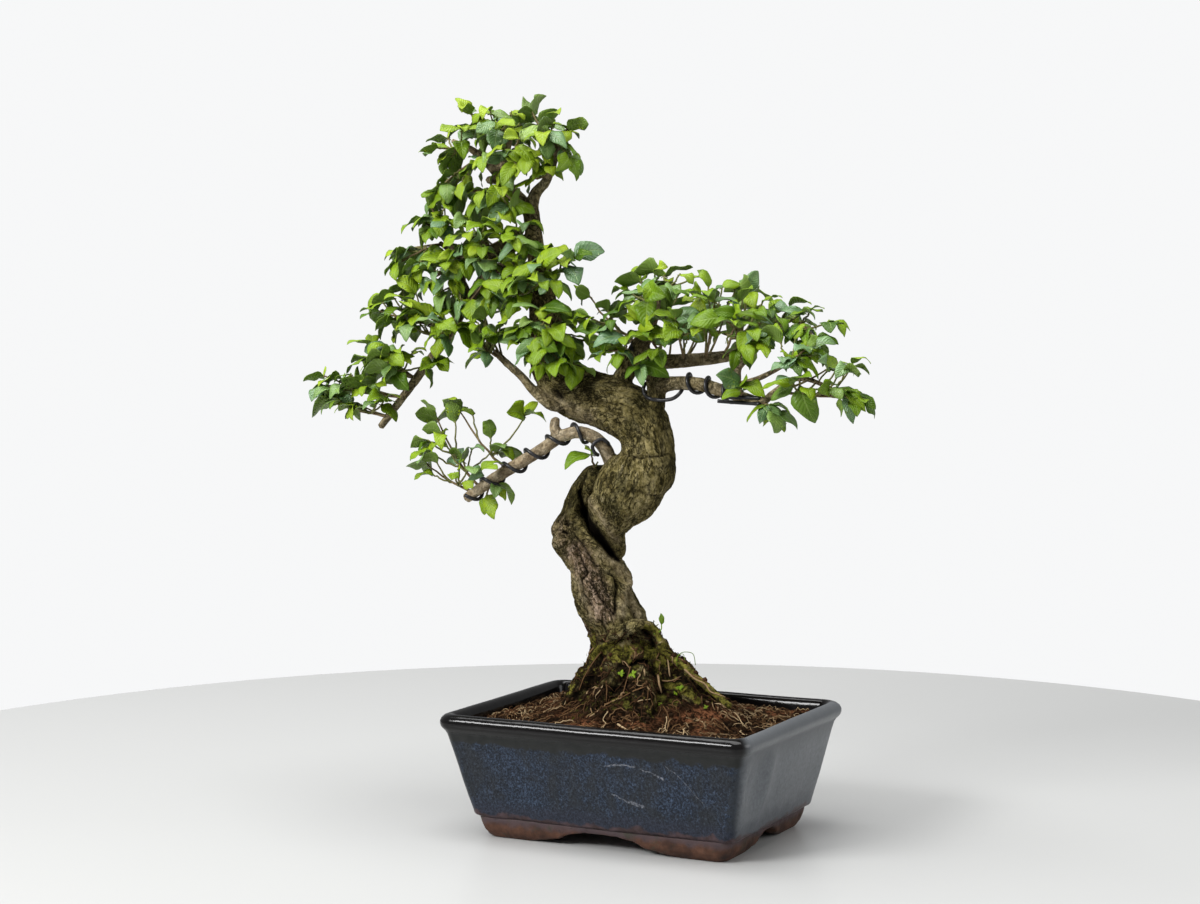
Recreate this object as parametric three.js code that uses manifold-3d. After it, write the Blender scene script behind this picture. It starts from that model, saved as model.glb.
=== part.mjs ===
// Bonsai tree with a twisted trunk, standing in a glazed rectangular pot. Millimetres, +Z up.
// x runs along the pot's long side, y from its front to its back, and z = 0 is the surface it stands on.
import * as THREE from "three";
import { mergeVertices } from "three/addons/utils/BufferGeometryUtils.js";
import Module from "manifold-3d";

const wasm = await Module();
wasm.setup();

// Clearance between pieces that touch
const GAP = 0.3;
const UP = new THREE.Vector3(0, 0, 1);

// Pot: half length and half width of each level of the wall, from the foot up
const POT_HEIGHT = 100;
const GLAZE_EDGE = 18;
const FOOT = { x: 108, y: 75 };
const BODY = { x: 115, y: 78 };
const LIP = { x: 135, y: 99.5 };
const FOOT_WALL = 11;
const FOOT_INNER_CORNER = 6;
const RECESS_HEIGHT = 12;
const FLOOR_TOP = 26;
const DRAIN_RADIUS = 9;
const DRAIN_OFFSET = 55;
const CORNER_STEPS = 3;
// The pot's middle lies this far beside the trunk's plane
const POT_X = -2;

// Soil: level at the rim, and the mound that the roots stand on
const SOIL_LEVEL = 91;
const MOUND_HEIGHT = 45;
const MOUND_RADIUS = 46;

// Leaf of a privet-like shrub: longest and shortest blade, width as a part of the length
const LEAF_LONG = 27;
const LEAF_SHORT = 18;
const LEAF_WIDTH = 0.62;
const BLADE_THICKNESS = 0.6;

// Wire that shapes the branches
const WIRE_RADIUS = 1.7;
const WIRE_STEPS_PER_TURN = 8;

const COLOURS = {
  glaze: 0x26303f,
  soil: 0x4a2f20,
  mesh: 0x1d2420,
  bark: 0x6f6a50,
  wire: 0x17171a,
  leaf: 0x4f8a35,
};

// The branches are measured in an upright plane through the pot's middle, turned to face a viewer:
// a is the distance to the right in it, h the height, and y the depth that the point really has.
const EYE = new THREE.Vector3(787.4, -1559.9, 407);
const TURN = THREE.MathUtils.degToRad(27.9);

function seen([a, h, y]) {
  const inPlane = new THREE.Vector3(a * Math.cos(TURN), a * Math.sin(TURN), h);
  const along = (y - EYE.y) / (inPlane.y - EYE.y);
  return inPlane.sub(EYE).multiplyScalar(along).add(EYE);
}

// Limbs: each row is a, h, y and the radius there
const LIMBS = {
  strand: {
    sides: 10,
    path: [
      [-4, 76, 0, 30], [-4, 94, 0, 43], [-4, 108, 0, 42], [-9, 125, 0, 37], [-16, 142, 0, 30],
      [-19, 154, 0, 27], [-23, 170, 0, 25.5], [-30, 187, 0, 24.5], [-35, 203, 2, 24], [-40, 217, 4, 21.5],
      [-48, 232, 6, 20], [-55, 247, 7, 17.5], [-54, 261, 6, 14.5], [-49, 275, 5, 12], [-41, 284, 3, 10.5],
      [-29, 283, 0, 11],
    ],
  },
  lobe: {
    sides: 10,
    path: [
      [-21, 221, 10, 6.5], [-24, 232, 8, 11], [-27, 244, 5, 16], [-23, 257, 1, 22.5], [-12, 272, -4, 28.5],
      [0, 289, -7, 26.5], [4, 306, -6, 21.5], [2, 322, -3, 21.5], [-7, 335, 0, 21.5], [-24, 345, 3, 20],
      [-45, 352, 6, 20], [-61, 361, 6, 20], [-71, 377, 5, 18.5], [-75, 394, 4, 15], [-77, 412, 2, 13],
      [-79, 432, 0, 10.5], [-82, 454, 2, 8], [-87, 500, 4, 6.5],
    ],
  },
  fork_right: {
    sides: 5,
    path: [[-87, 497, 4, 6], [-83, 510, 2, 4.8], [-75, 519, 0, 4], [-68, 536, -6, 3], [-63, 546, -8, 2.4]],
  },
  fork_left: {
    sides: 5,
    path: [
      [-87, 496, 4, 6.4], [-106, 516, 5, 6.2], [-112, 526, 6, 5.2], [-133, 545, 0, 2.7],
      [-148, 552, -4, 1.9],
    ],
  },
  fork_top: {
    sides: 5,
    path: [[-109, 521, 5, 4.8], [-107, 535, 8, 3.7], [-104, 549, 10, 2.8], [-101, 565, 10, 1.9]],
  },
  fork_stub: { sides: 5, path: [[-112, 521, 4, 3.6], [-120, 521, -8, 3.4]] },
  arch: {
    sides: 5,
    path: [
      [-80, 446, 0, 7.2], [-94, 449, 0, 5.6], [-108, 452, -2, 4.8], [-120, 449, -4, 4.5],
      [-130, 437, -6, 4.3], [-155, 397, -10, 4.2], [-179, 365, -14, 3.8], [-208, 327, -18, 2.9],
    ],
  },
  dark: {
    sides: 5,
    path: [
      [-83, 471, 3, 7.2], [-100, 471, 6, 6.4], [-115, 466, 8, 6], [-127, 457, 10, 5.2], [-139, 457, 8, 3.7],
      [-150, 465, 4, 2.4], [-159, 472, 0, 1.8],
    ],
  },
  slim: {
    sides: 5,
    path: [[-136, 431, -8, 2.4], [-142, 444, -4, 2.2], [-150, 469, 0, 1.8], [-154, 480, 0, 1.4]],
  },
  flank: {
    sides: 5,
    path: [
      [-57, 345, 0, 5.6], [-70, 342, -8, 4.8], [-84, 352, -12, 4], [-96, 366, -16, 3.4],
      [-108, 377, -20, 2.9], [-117, 386, -24, 2.4],
    ],
  },
  hub: {
    sides: 6,
    path: [
      [-24, 345, 2, 9.6], [-17, 361, 4, 8], [-8, 376, 4, 8], [-1, 390, 2, 7.2], [7, 405, 0, 4.8],
      [12, 422, -2, 3.2], [14, 436, -2, 2],
    ],
  },
  neck: {
    sides: 6,
    path: [[8, 336, -4, 9.6], [11, 349, -4, 7.6], [10, 362, -2, 7.2], [6, 375, 0, 7.2], [0, 386, 2, 6.4]],
  },
  upper: {
    sides: 5,
    path: [
      [6, 376, 0, 6.4], [34, 377, 10, 5.6], [66, 380, 18, 4.8], [79, 383, 20, 4.3], [91, 392, 22, 3.2],
      [105, 402, 24, 2.4], [121, 410, 24, 1.8],
    ],
  },
  wired: {
    sides: 6,
    path: [
      [10, 356, -3, 6.4], [24, 359, -6, 5.8], [46, 358, -12, 5.4], [63, 353, -18, 5], [82, 347, -24, 4.2],
      [95, 344, -28, 3.4], [106, 352, -32, 2.6], [119, 361, -36, 2.1], [132, 361, -38, 1.9],
      [165, 346, -44, 1.4],
    ],
  },
  cross: {
    sides: 5,
    path: [
      [73, 350, -20, 3.5], [75, 361, -14, 3.5], [76, 372, -8, 3.7], [86, 381, 0, 3.2], [94, 392, 6, 2.6],
    ],
  },
  thin: { sides: 5, path: [[75, 357, -16, 2.4], [94, 363, -22, 2.1], [117, 375, -28, 1.6]] },
  low: {
    sides: 6,
    path: [
      [-17, 287, -4, 5.4], [-23, 299, -10, 4.9], [-29, 311, -16, 5], [-39, 318, -20, 5.1],
      [-52, 321, -24, 5], [-66, 317, -27, 5.1], [-81, 307, -30, 5], [-113, 288, -38, 5],
      [-141, 269, -46, 4.2],
    ],
  },
  stub: { sides: 5, path: [[-66, 317, -27, 4.8], [-70, 325, -27, 4.3], [-69, 332, -27, 3.7]] },
  knob: { sides: 6, path: [[-44, 226, 6, 15], [-59, 231, -4, 12.5], [-68, 236, -10, 7.5]] },
  root_loop: {
    sides: 5,
    path: [
      [-35, 155, -22, 3.5], [-21, 161, -30, 4], [-7, 167, -24, 4.4], [5, 164, -14, 4], [14, 151, -12, 4],
      [25, 138, -14, 3.4], [44, 121, -20, 3], [68, 100, -26, 2.4],
    ],
  },
};

// Roots that run out from the trunk's foot, by their direction in degrees and how far they reach
const ROOTS = [[-14, 76], [32, 66], [84, 58], [130, 62], [176, 70], [216, 64], [258, 60], [302, 66]];

// Leafy sprays: where each leaves its limb, then the tips of its twigs, as a, h and y
const SPRAYS = {
  apex_left: [[-134, 545, 0], [-161, 547, -12], [-140, 562, -14], [-152, 555, 4]],
  apex_crown: [[-104, 548, 10], [-134, 574, 4], [-93, 566, 22], [-113, 566, -20]],
  apex_right: [[-64, 545, -8], [-85, 574, -4], [-55, 538, -12], [-75, 558, -26]],
  apex_front: [[-107, 532, 6], [-95, 554, -28], [-133, 532, -14], [-103, 539, -10]],
  apex_back: [[-103, 557, 10], [-103, 552, 52], [-75, 561, 30], [-126, 558, 40]],
  apex_tuft: [[-71, 524, -3], [-87, 521, -8]],
  left_high: [[-123, 539, 3], [-161, 512, -6], [-136, 524, -8], [-141, 519, -22]],
  left_tier_high: [[-154, 479, 0], [-166, 503, -10], [-152, 488, -20]],
  mid_high: [[-105, 514, 5], [-135, 512, -16], [-105, 500, -14]],
  front_cluster: [[-112, 467, 8], [-137, 479, -26], [-114, 494, -18]],
  front_cluster_right: [[-88, 471, 3], [-109, 480, -24], [-99, 496, -12], [-93, 469, -20]],
  left_tip: [[-158, 471, 0], [-191, 457, -14], [-169, 465, -6], [-175, 455, -18]],
  left_mid: [[-147, 455, -2], [-167, 441, -22], [-154, 457, -24]],
  left_inner: [[-123, 460, 9], [-146, 463, -20], [-118, 457, -16]],
  left_low: [[-140, 441, -5], [-159, 433, -24], [-142, 425, -24]],
  left_outer: [[-150, 405, -9], [-209, 419, -14], [-179, 433, -16], [-197, 430, -20]],
  left_outer_low: [[-155, 397, -10], [-198, 413, -16], [-163, 416, -20]],
  left_front: [[-151, 403, -10], [-161, 410, -36], [-142, 419, -18]],
  left_tier: [[-179, 365, -14], [-216, 393, -20], [-165, 377, -22], [-198, 370, -34]],
  left_end: [[-190, 350, -15], [-254, 368, -10], [-214, 361, -20], [-236, 359, -30], [-240, 366, -14]],
  left_end_low: [[-201, 335, -17], [-246, 347, -16], [-202, 351, -26]],
  mid_left: [[-110, 379, -21], [-127, 392, -33], [-124, 414, -30]],
  mid_arch: [[-108, 452, -2], [-136, 425, -22], [-100, 444, -30], [-121, 439, -26]],
  mid_front: [[-80, 429, 0], [-107, 434, -34], [-102, 458, -18], [-80, 440, -36]],
  mid_right: [[-80, 440, 0], [-52, 460, -10], [-82, 455, -30], [-71, 448, -12]],
  trunk_front: [[-77, 409, 0], [-85, 395, -42], [-80, 420, -34]],
  trunk_front_low: [[-73, 385, 3], [-77, 388, -44], [-53, 374, -20], [-97, 393, -32]],
  mid_side: [[-76, 402, 4], [-69, 398, -34], [-44, 393, -12]],
  right_left: [[-1, 390, 2], [-42, 430, -14], [-31, 402, -24]],
  right_left_low: [[-1, 386, 2], [-30, 385, -22], [-2, 373, -22], [-13, 397, -26]],
  right_crown_left: [[11, 420, -2], [3, 432, -32], [-15, 418, -12], [-1, 442, -4]],
  right_crown: [[14, 435, -2], [35, 432, -30], [18, 446, 2], [11, 436, -30]],
  right_crown_back: [[7, 406, 0], [23, 421, 54], [-13, 421, 34]],
  right_mid: [[34, 378, 10], [27, 411, -34], [37, 397, -6]],
  right_dome: [[50, 377, 14], [58, 425, -30], [75, 436, 4], [56, 409, 2]],
  right_dome_right: [[76, 383, 19], [75, 414, -34], [102, 417, 2]],
  right_dome_back: [[64, 380, 18], [78, 420, 58], [46, 409, 50]],
  right_slope: [[105, 402, 24], [100, 401, -26], [127, 414, -2]],
  right_tip_high: [[120, 410, 24], [138, 392, -14], [135, 417, 2], [148, 406, -4]],
  right_front: [[91, 391, 14], [64, 412, -40], [83, 397, -10], [82, 391, -40]],
  right_slope_low: [[110, 372, -27], [132, 388, -36], [122, 376, -44]],
  right_far: [[105, 351, -32], [173, 345, -38], [119, 359, -46], [148, 370, -32], [149, 353, -50]],
  right_drop: [[79, 348, -27], [78, 360, -38]],
  right_bud: [[95, 344, -30], [108, 332, -36]],
  right_inner: [[21, 377, 5], [-1, 410, -22], [16, 394, 0]],
  low_v: [[-108, 293, -36], [-146, 340, -30], [-93, 336, -36], [-114, 306, -34]],
  low_main: [[-130, 278, -42], [-164, 335, -38], [-120, 307, -42], [-169, 306, -52], [-143, 301, -42]],
  low_front: [[-135, 274, -44], [-173, 298, -46], [-128, 293, -56]],
  low_under: [[-120, 284, -40], [-125, 269, -44]],
  ring_twig: [[-37, 290, 0], [-41, 304, -18]],
};

// Solids: closed surfaces made ready for joining and cutting

function solidOf(geometry) {
  const bare = geometry.clone();
  bare.deleteAttribute("normal");
  bare.deleteAttribute("uv");
  const welded = mergeVertices(bare, 1e-4);
  return new wasm.Manifold(new wasm.Mesh({
    numProp: 3,
    vertProperties: Float32Array.from(welded.attributes.position.array),
    triVerts: Uint32Array.from(welded.index.array),
  }));
}

function geometryOf(solid) {
  const mesh = solid.getMesh();
  const geometry = new THREE.BufferGeometry();
  geometry.setAttribute("position", new THREE.BufferAttribute(mesh.vertProperties, 3));
  geometry.setIndex(new THREE.BufferAttribute(mesh.triVerts, 1));
  geometry.computeVertexNormals();
  return geometry;
}

function joined(solids) {
  return solids.reduce((whole, solid) => whole.add(solid));
}

// The biggest body alone, without loose scraps or sealed hollows
function biggest(solid) {
  const bodies = solid.decompose();
  return bodies.reduce((best, body) => (body.volume() > best.volume() ? body : best));
}

function boxesMeet(one, other) {
  const a = one.boundingBox();
  const b = other.boundingBox();
  return [0, 1, 2].every((axis) => a.min[axis] <= b.max[axis] && b.min[axis] <= a.max[axis]);
}

function crossesAny(solid, others) {
  return others.some((other) => boxesMeet(solid, other) && !solid.intersect(other).isEmpty());
}

function indexed(positions, index) {
  const geometry = new THREE.BufferGeometry();
  geometry.setAttribute("position", new THREE.Float32BufferAttribute(positions, 3));
  geometry.setIndex(index);
  return geometry;
}

// Skin over a chain of rings with equal counts of points, closed by a flat cap at each end
function loft(rings) {
  const count = rings[0].length;
  const index = [];
  for (let level = 0; level < rings.length - 1; level += 1) {
    for (let corner = 0; corner < count; corner += 1) {
      const here = level * count + corner;
      const next = level * count + ((corner + 1) % count);
      index.push(here, next, next + count);
      index.push(here, next + count, here + count);
    }
  }
  const last = (rings.length - 1) * count;
  for (let corner = 1; corner < count - 1; corner += 1) {
    index.push(0, corner + 1, corner);
    index.push(last, last + corner, last + corner + 1);
  }
  return indexed(rings.flat().flatMap((point) => point.toArray()), index);
}

function evenly(from, to, steps) {
  return Array.from({ length: steps + 1 }, (_, step) => from + ((to - from) * step) / steps);
}

// Frames at places on a curve, which turn with it but never twist about it
function framesAlong(curve, places) {
  const first = curve.getTangent(places[0]);
  const reference = Math.abs(first.z) > 0.9 ? new THREE.Vector3(1, 0, 0) : UP;
  const normal = new THREE.Vector3().crossVectors(first, reference);
  return places.map((t) => {
    const tangent = curve.getTangent(t);
    normal.addScaledVector(tangent, -normal.dot(tangent)).normalize();
    const side = new THREE.Vector3().crossVectors(tangent, normal);
    return { t, centre: curve.getPoint(t), normal: normal.clone(), side };
  });
}

function onCircle({ centre, normal, side }, angle, radius) {
  return centre.clone()
    .addScaledVector(normal, radius * Math.cos(angle))
    .addScaledVector(side, radius * Math.sin(angle));
}

function mix(values, t) {
  const place = t * (values.length - 1);
  const before = Math.min(Math.floor(place), values.length - 2);
  return THREE.MathUtils.lerp(values[before], values[before + 1], place - before);
}

// Round rod along a curve, with a radius that changes evenly between the given ones
function rod(curve, radii, sides, steps) {
  const rings = framesAlong(curve, evenly(0, 1, steps)).map((frame) => {
    const radius = mix(radii, frame.t);
    return evenly(0, 2 * Math.PI, sides).slice(1).map((angle) => onCircle(frame, angle, radius));
  });
  return solidOf(loft(rings));
}

function smoothCurve(points) {
  return new THREE.CatmullRomCurve3(points, false, "centripetal");
}

// Trunk with its limbs and roots, grown as one piece

function limbCurve(limb) {
  return smoothCurve(limb.path.map(seen));
}

function limbRadii(limb, extra) {
  return limb.path.map((row) => row[3] + extra);
}

function limbSolid(limb, extra) {
  return rod(limbCurve(limb), limbRadii(limb, extra), limb.sides, limb.path.length - 1);
}

const ROOT_ORIGIN = new THREE.Vector3(-6, 0, 0);
// How far out, how high and how thick a root is, from the trunk to where it dips into the soil
const ROOT_COURSE = [[0.1, 148, 13], [0.5, 125, 11], [0.82, 105, 8], [1.1, 86, 4]];

function rootSolid([degrees, reach], extra) {
  const heading = THREE.MathUtils.degToRad(degrees);
  const points = ROOT_COURSE.map(([out, height]) => new THREE.Vector3(
    ROOT_ORIGIN.x + out * reach * Math.cos(heading),
    ROOT_ORIGIN.y + out * reach * Math.sin(heading),
    height,
  ));
  return rod(smoothCurve(points), ROOT_COURSE.map((row) => row[2] + extra), 5, ROOT_COURSE.length - 1);
}

function treeSolid(extra) {
  const limbs = Object.values(LIMBS).map((limb) => limbSolid(limb, extra));
  const roots = ROOTS.map((root) => rootSolid(root, extra));
  return biggest(joined([...limbs, ...roots]));
}

// Wires: each winds along a stretch of a limb, given as parts of its length, a little clear of its bark

const WIRE_SIDES = 4;
// A straight chord between two points of the winding cuts inside the circle by this much at most
const CHORD_SAG = 0.6;

function winding(limb, from, to, turns, startAngle) {
  const steps = Math.round(turns * WIRE_STEPS_PER_TURN);
  const radii = limbRadii(limb, WIRE_RADIUS + GAP + CHORD_SAG);
  const curve = limbCurve(limb);
  const places = evenly(from, to, steps).map((share) => curve.getUtoTmapping(share));
  return framesAlong(curve, places).map((frame, step) => {
    const angle = startAngle + (2 * Math.PI * turns * step) / steps;
    return onCircle(frame, angle, mix(radii, frame.t));
  });
}

function wireSolid(points, extra) {
  const radius = WIRE_RADIUS + extra;
  return rod(smoothCurve(points), [radius, radius], WIRE_SIDES, points.length - 1);
}

const WIRES = {
  wire_low: winding(LIMBS.low, 0.12, 0.985, 8.5, 0.6),
  wire_right: winding(LIMBS.wired, 0.14, 0.42, 3, 2.4),
};

// Leafy sprays

const TWIG_SIDES = 3;
const MAIN_STEPS = 2;
const SIDE_STEPS = 1;
const TWIG_RADIUS = [1.5, 1.2];

function randomFrom(seed) {
  let state = seed >>> 0;
  return () => {
    state = (state + 0x6d2b79f5) >>> 0;
    let mixed = Math.imul(state ^ (state >>> 15), state | 1);
    mixed ^= mixed + Math.imul(mixed ^ (mixed >>> 7), mixed | 61);
    return ((mixed ^ (mixed >>> 14)) >>> 0) / 4294967296;
  };
}

// A twig leaves its stem nearly level and turns up towards the light
function twigCurve(start, tip) {
  const reach = tip.clone().sub(start);
  const bend = start.clone().add(new THREE.Vector3(0.55 * reach.x, 0.55 * reach.y, 0.3 * reach.z));
  return new THREE.QuadraticBezierCurve3(start, bend, tip);
}

// Side twigs leave the main one a little before the point that lies beside their tips
function branchingPoint(main, root, mainTip, tip) {
  const axis = mainTip.clone().sub(root);
  const beside = tip.clone().sub(root).dot(axis) / axis.lengthSq();
  return main.getPoint(THREE.MathUtils.clamp(beside - 0.3, 0.3, 0.7));
}

function drawLeaf(base, heading, outward, scale, random) {
  const length = scale * THREE.MathUtils.lerp(LEAF_SHORT, LEAF_LONG, random());
  const along = heading.clone();
  along.z += THREE.MathUtils.lerp(-0.35, 0.15, random());
  along.normalize();
  const tilt = new THREE.Vector3(random() - 0.5, random() - 0.5, random() - 0.5);
  const normal = UP.clone().multiplyScalar(0.65).addScaledVector(outward, 0.55).addScaledVector(tilt, 0.9);
  normal.addScaledVector(along, -normal.dot(along)).normalize();
  return { base, along, normal, length };
}

// Leaf that ends a twig
function endLeaf(curve, outward, random) {
  return drawLeaf(curve.getPoint(1 - 1 / curve.getLength()), curve.getTangent(1), outward, 0.75, random);
}

// One leaf of the pair below a twig's tip; hand is 1 or -1
function pairLeaf(curve, hand, outward, random) {
  const t = Math.max(1 - 2 / curve.getLength(), 0.1);
  const tangent = curve.getTangent(t);
  const level = new THREE.Vector3().crossVectors(tangent, UP).normalize();
  const lifted = new THREE.Vector3().crossVectors(level, tangent);
  const turn = (random() - 0.5) * 0.9;
  const spread = THREE.MathUtils.lerp(0.75, 1.15, random());
  const across = level.multiplyScalar(Math.cos(turn)).addScaledVector(lifted, Math.sin(turn));
  const heading = tangent.multiplyScalar(Math.cos(spread)).addScaledVector(across, hand * Math.sin(spread));
  return drawLeaf(curve.getPoint(t), heading, outward, 1, random);
}

// Blade: points as parts of the length, of the half width, and of the length upwards. It has a pointed root
// and an edge that goes round by way of the tip.
const BLADE_EDGE = [
  [0.28, 0.94, 0.035], [0.64, 0.8, 0.03], [1, 0, -0.1], [0.64, -0.8, 0.03], [0.28, -0.94, 0.035],
];
const BLADE_FACETS = [[4, 0, 5], [0, 4, 1], [1, 4, 3], [1, 3, 2]];
const ROOT_SUNK = 0.01;
const FREE_ROOT = 0.28;

function bladeSolid({ base, along, normal, length }, thickness, rootAt) {
  const side = new THREE.Vector3().crossVectors(normal, along);
  const halfWidth = (length * LEAF_WIDTH) / 2;
  const place = ([out, across, up], lift) => base.clone()
    .addScaledVector(along, out * length)
    .addScaledVector(side, across * halfWidth)
    .addScaledVector(normal, up * length + lift)
    .toArray();
  const top = BLADE_EDGE.map((point) => place(point, thickness / 2));
  const under = BLADE_EDGE.map((point) => place(point, -thickness / 2));
  const root = place([rootAt, 0, 0], 0);
  const count = BLADE_EDGE.length;
  const last = count - 1;
  const lower = (corner) => (corner === count ? corner : corner + count + 1);
  const index = [count, 0, lower(0), count, lower(last), last];
  for (const [one, two, three] of BLADE_FACETS) {
    index.push(one, two, three, lower(two), lower(one), lower(three));
  }
  for (let here = 0; here < last; here += 1) {
    index.push(here, here + 1, lower(here + 1), here, lower(here + 1), lower(here));
  }
  return solidOf(indexed([...top, root, ...under].flat(), index));
}

const CLEAR_BLADE = BLADE_THICKNESS + 2 * GAP;
const DRAWS_PER_LEAF = 5;

// Draws a leaf anew until it stands clear of what is already there
function clearLeaf(draw, obstacles, leafBodies) {
  for (let attempt = 0; attempt < DRAWS_PER_LEAF; attempt += 1) {
    const leaf = draw();
    const free = bladeSolid(leaf, CLEAR_BLADE, FREE_ROOT);
    const clear = bladeSolid(leaf, CLEAR_BLADE, ROOT_SUNK);
    if (!crossesAny(clear, obstacles) && !crossesAny(free, leafBodies)) {
      return { solid: bladeSolid(leaf, BLADE_THICKNESS, ROOT_SUNK), free, clear };
    }
  }
  return null;
}

// One spray: its twigs and leaves fused, cut back from the limb it grows on and from the sprays beside it
function growSpray(rows, seed, tree, neighbours) {
  const obstacles = [...tree, ...neighbours];
  const [root, ...tips] = rows.map(seen);
  const main = twigCurve(root, tips[0]);
  const bodies = [];
  const clearBodies = [];
  const leafBodies = [];
  tips.forEach((tip, number) => {
    const isMain = number === 0;
    const curve = isMain ? main : twigCurve(branchingPoint(main, root, tips[0], tip), tip);
    const steps = isMain ? MAIN_STEPS : SIDE_STEPS;
    const clearTwig = rod(curve, TWIG_RADIUS.map((radius) => radius + 2 * GAP), TWIG_SIDES, steps);
    if (!isMain && crossesAny(clearTwig, neighbours)) return;
    bodies.push(rod(curve, TWIG_RADIUS, TWIG_SIDES, steps));
    clearBodies.push(clearTwig);
    const outward = new THREE.Vector3(tip.x - root.x, tip.y - root.y, 0).normalize();
    const random = randomFrom(seed + number);
    const draws = [1, -1].map((hand) => () => pairLeaf(curve, hand, outward, random));
    if (isMain) draws.push(() => endLeaf(curve, outward, random));
    for (const draw of draws) {
      const leaf = clearLeaf(draw, obstacles, leafBodies);
      if (leaf) {
        bodies.push(leaf.solid);
        leafBodies.push(leaf.free);
        clearBodies.push(leaf.clear);
      }
    }
  });
  const whole = joined(bodies);
  const near = obstacles.filter((obstacle) => boxesMeet(obstacle, whole));
  const solid = biggest(near.reduce((rest, obstacle) => rest.subtract(obstacle), whole));
  return { solid, clear: joined(clearBodies) };
}

// Pot: rings as height, half length, half width and corner radius, up the outside and down the inside
const POT_RINGS = [
  [0, FOOT.x, FOOT.y, 8],
  [GLAZE_EDGE - 2, FOOT.x + 3, FOOT.y + 1.5, 8],
  [GLAZE_EDGE, BODY.x, BODY.y, 9],
  [45, 121, 84.5, 9],
  [70, 126.5, 90.5, 9],
  [84, 129.5, 94, 9],
  [88, 132.5, 97.2, 11],
  [92, LIP.x, LIP.y, 13],
  [97, LIP.x - 1, LIP.y - 1, 13],
  [POT_HEIGHT, LIP.x - 5.5, LIP.y - 5, 11],
  [98.5, LIP.x - 10, LIP.y - 9, 9],
  [94, LIP.x - 12.5, LIP.y - 11, 8],
  [70, 118.5, 82.5, 6],
  [FLOOR_TOP, 107.5, 70, 6],
];
// Opening between two feet, as half of its outline: distance from the middle and height
const ARCH = [[66, 0], [50, 2.5], [38, 4.5], [30, 9], [14, 12]];
const SHORT_ARCH_SCALE = 0.5;

function roundedRing([height, halfX, halfY, radius]) {
  const ring = [];
  const signs = [[1, 1], [-1, 1], [-1, -1], [1, -1]];
  signs.forEach(([signX, signY], corner) => {
    for (let step = 0; step <= CORNER_STEPS; step += 1) {
      const angle = ((corner + step / CORNER_STEPS) * Math.PI) / 2;
      const x = signX * (halfX - radius) + radius * Math.cos(angle);
      const y = signY * (halfY - radius) + radius * Math.sin(angle);
      ring.push(new THREE.Vector3(x, y, height));
    }
  });
  return ring;
}

function archCutter(scale, length) {
  const half = ARCH.map(([out, height]) => new THREE.Vector2(out * scale, height));
  const otherHalf = half.map((point) => new THREE.Vector2(-point.x, point.y)).reverse();
  const below = [new THREE.Vector2(-ARCH[0][0] * scale, -1), new THREE.Vector2(ARCH[0][0] * scale, -1)];
  const shape = new THREE.Shape([...below, ...half, ...otherHalf]);
  const geometry = new THREE.ExtrudeGeometry(shape, { depth: length, bevelEnabled: false });
  geometry.translate(0, 0, -length / 2);
  geometry.rotateX(Math.PI / 2);
  return geometry;
}

function potSolid() {
  const recess = [-1, RECESS_HEIGHT].map((height) => (
    roundedRing([height, FOOT.x - FOOT_WALL, FOOT.y - FOOT_WALL, FOOT_INNER_CORNER])
  ));
  const cutters = [
    loft(recess),
    archCutter(1, 2 * LIP.y),
    archCutter(SHORT_ARCH_SCALE, 2 * LIP.x).rotateZ(Math.PI / 2),
  ];
  for (const side of [-1, 1]) {
    const hole = new THREE.CylinderGeometry(DRAIN_RADIUS, DRAIN_RADIUS, 2 * FLOOR_TOP, 12);
    hole.rotateX(Math.PI / 2);
    hole.translate(side * DRAIN_OFFSET, 0, FLOOR_TOP);
    cutters.push(hole);
  }
  const shell = solidOf(loft(POT_RINGS.map(roundedRing)));
  return cutters.reduce((rest, cutter) => rest.subtract(solidOf(cutter)), shell);
}

// Plastic mesh over each drainage hole, lying on the pot's floor
const MESH_SIZE = 28;
const MESH_THICKNESS = 1;
const MESH_CELLS = 2;
const MESH_STRAND = 2.5;

function drainMeshSolid() {
  const pitch = (MESH_SIZE - MESH_STRAND) / MESH_CELLS;
  const open = pitch - MESH_STRAND;
  let plate = solidOf(new THREE.BoxGeometry(MESH_SIZE, MESH_SIZE, MESH_THICKNESS));
  for (let row = 0; row < MESH_CELLS; row += 1) {
    for (let column = 0; column < MESH_CELLS; column += 1) {
      const cell = new THREE.BoxGeometry(open, open, 2 * MESH_THICKNESS);
      cell.translate((row - (MESH_CELLS - 1) / 2) * pitch, (column - (MESH_CELLS - 1) / 2) * pitch, 0);
      plate = plate.subtract(solidOf(cell));
    }
  }
  return plate;
}

// Soil: fills the pot to its edge line and rises to the mound under the roots
const SOIL_BOTTOM = FLOOR_TOP + MESH_THICKNESS + 2 * GAP;
const SOIL_EDGE = SOIL_LEVEL - 2;
const SOIL_RINGS = [0.93, 0.78, 0.63, 0.5, 0.36, 0.2];

function innerRing(height) {
  const inside = POT_RINGS.slice(-3);
  const pair = height > inside[1][0] ? [inside[1], inside[0]] : [inside[2], inside[1]];
  const share = (height - pair[0][0]) / (pair[1][0] - pair[0][0]);
  const size = pair[0].map((value, column) => THREE.MathUtils.lerp(value, pair[1][column], share));
  const ring = roundedRing([height, size[1] - GAP, size[2] - GAP, size[3]]);
  return ring.map((point) => point.setX(point.x + POT_X));
}

function soilHeight(x, y) {
  const fromTrunk = Math.hypot(x - ROOT_ORIGIN.x, y - ROOT_ORIGIN.y);
  const mound = MOUND_HEIGHT * Math.exp(-((fromTrunk / MOUND_RADIUS) ** 2));
  const bumps = 1.3 * Math.sin(x / 11 + 1) * Math.cos(y / 9) + 0.8 * Math.sin(x / 5.5 - y / 7);
  return SOIL_LEVEL + mound + bumps;
}

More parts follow.
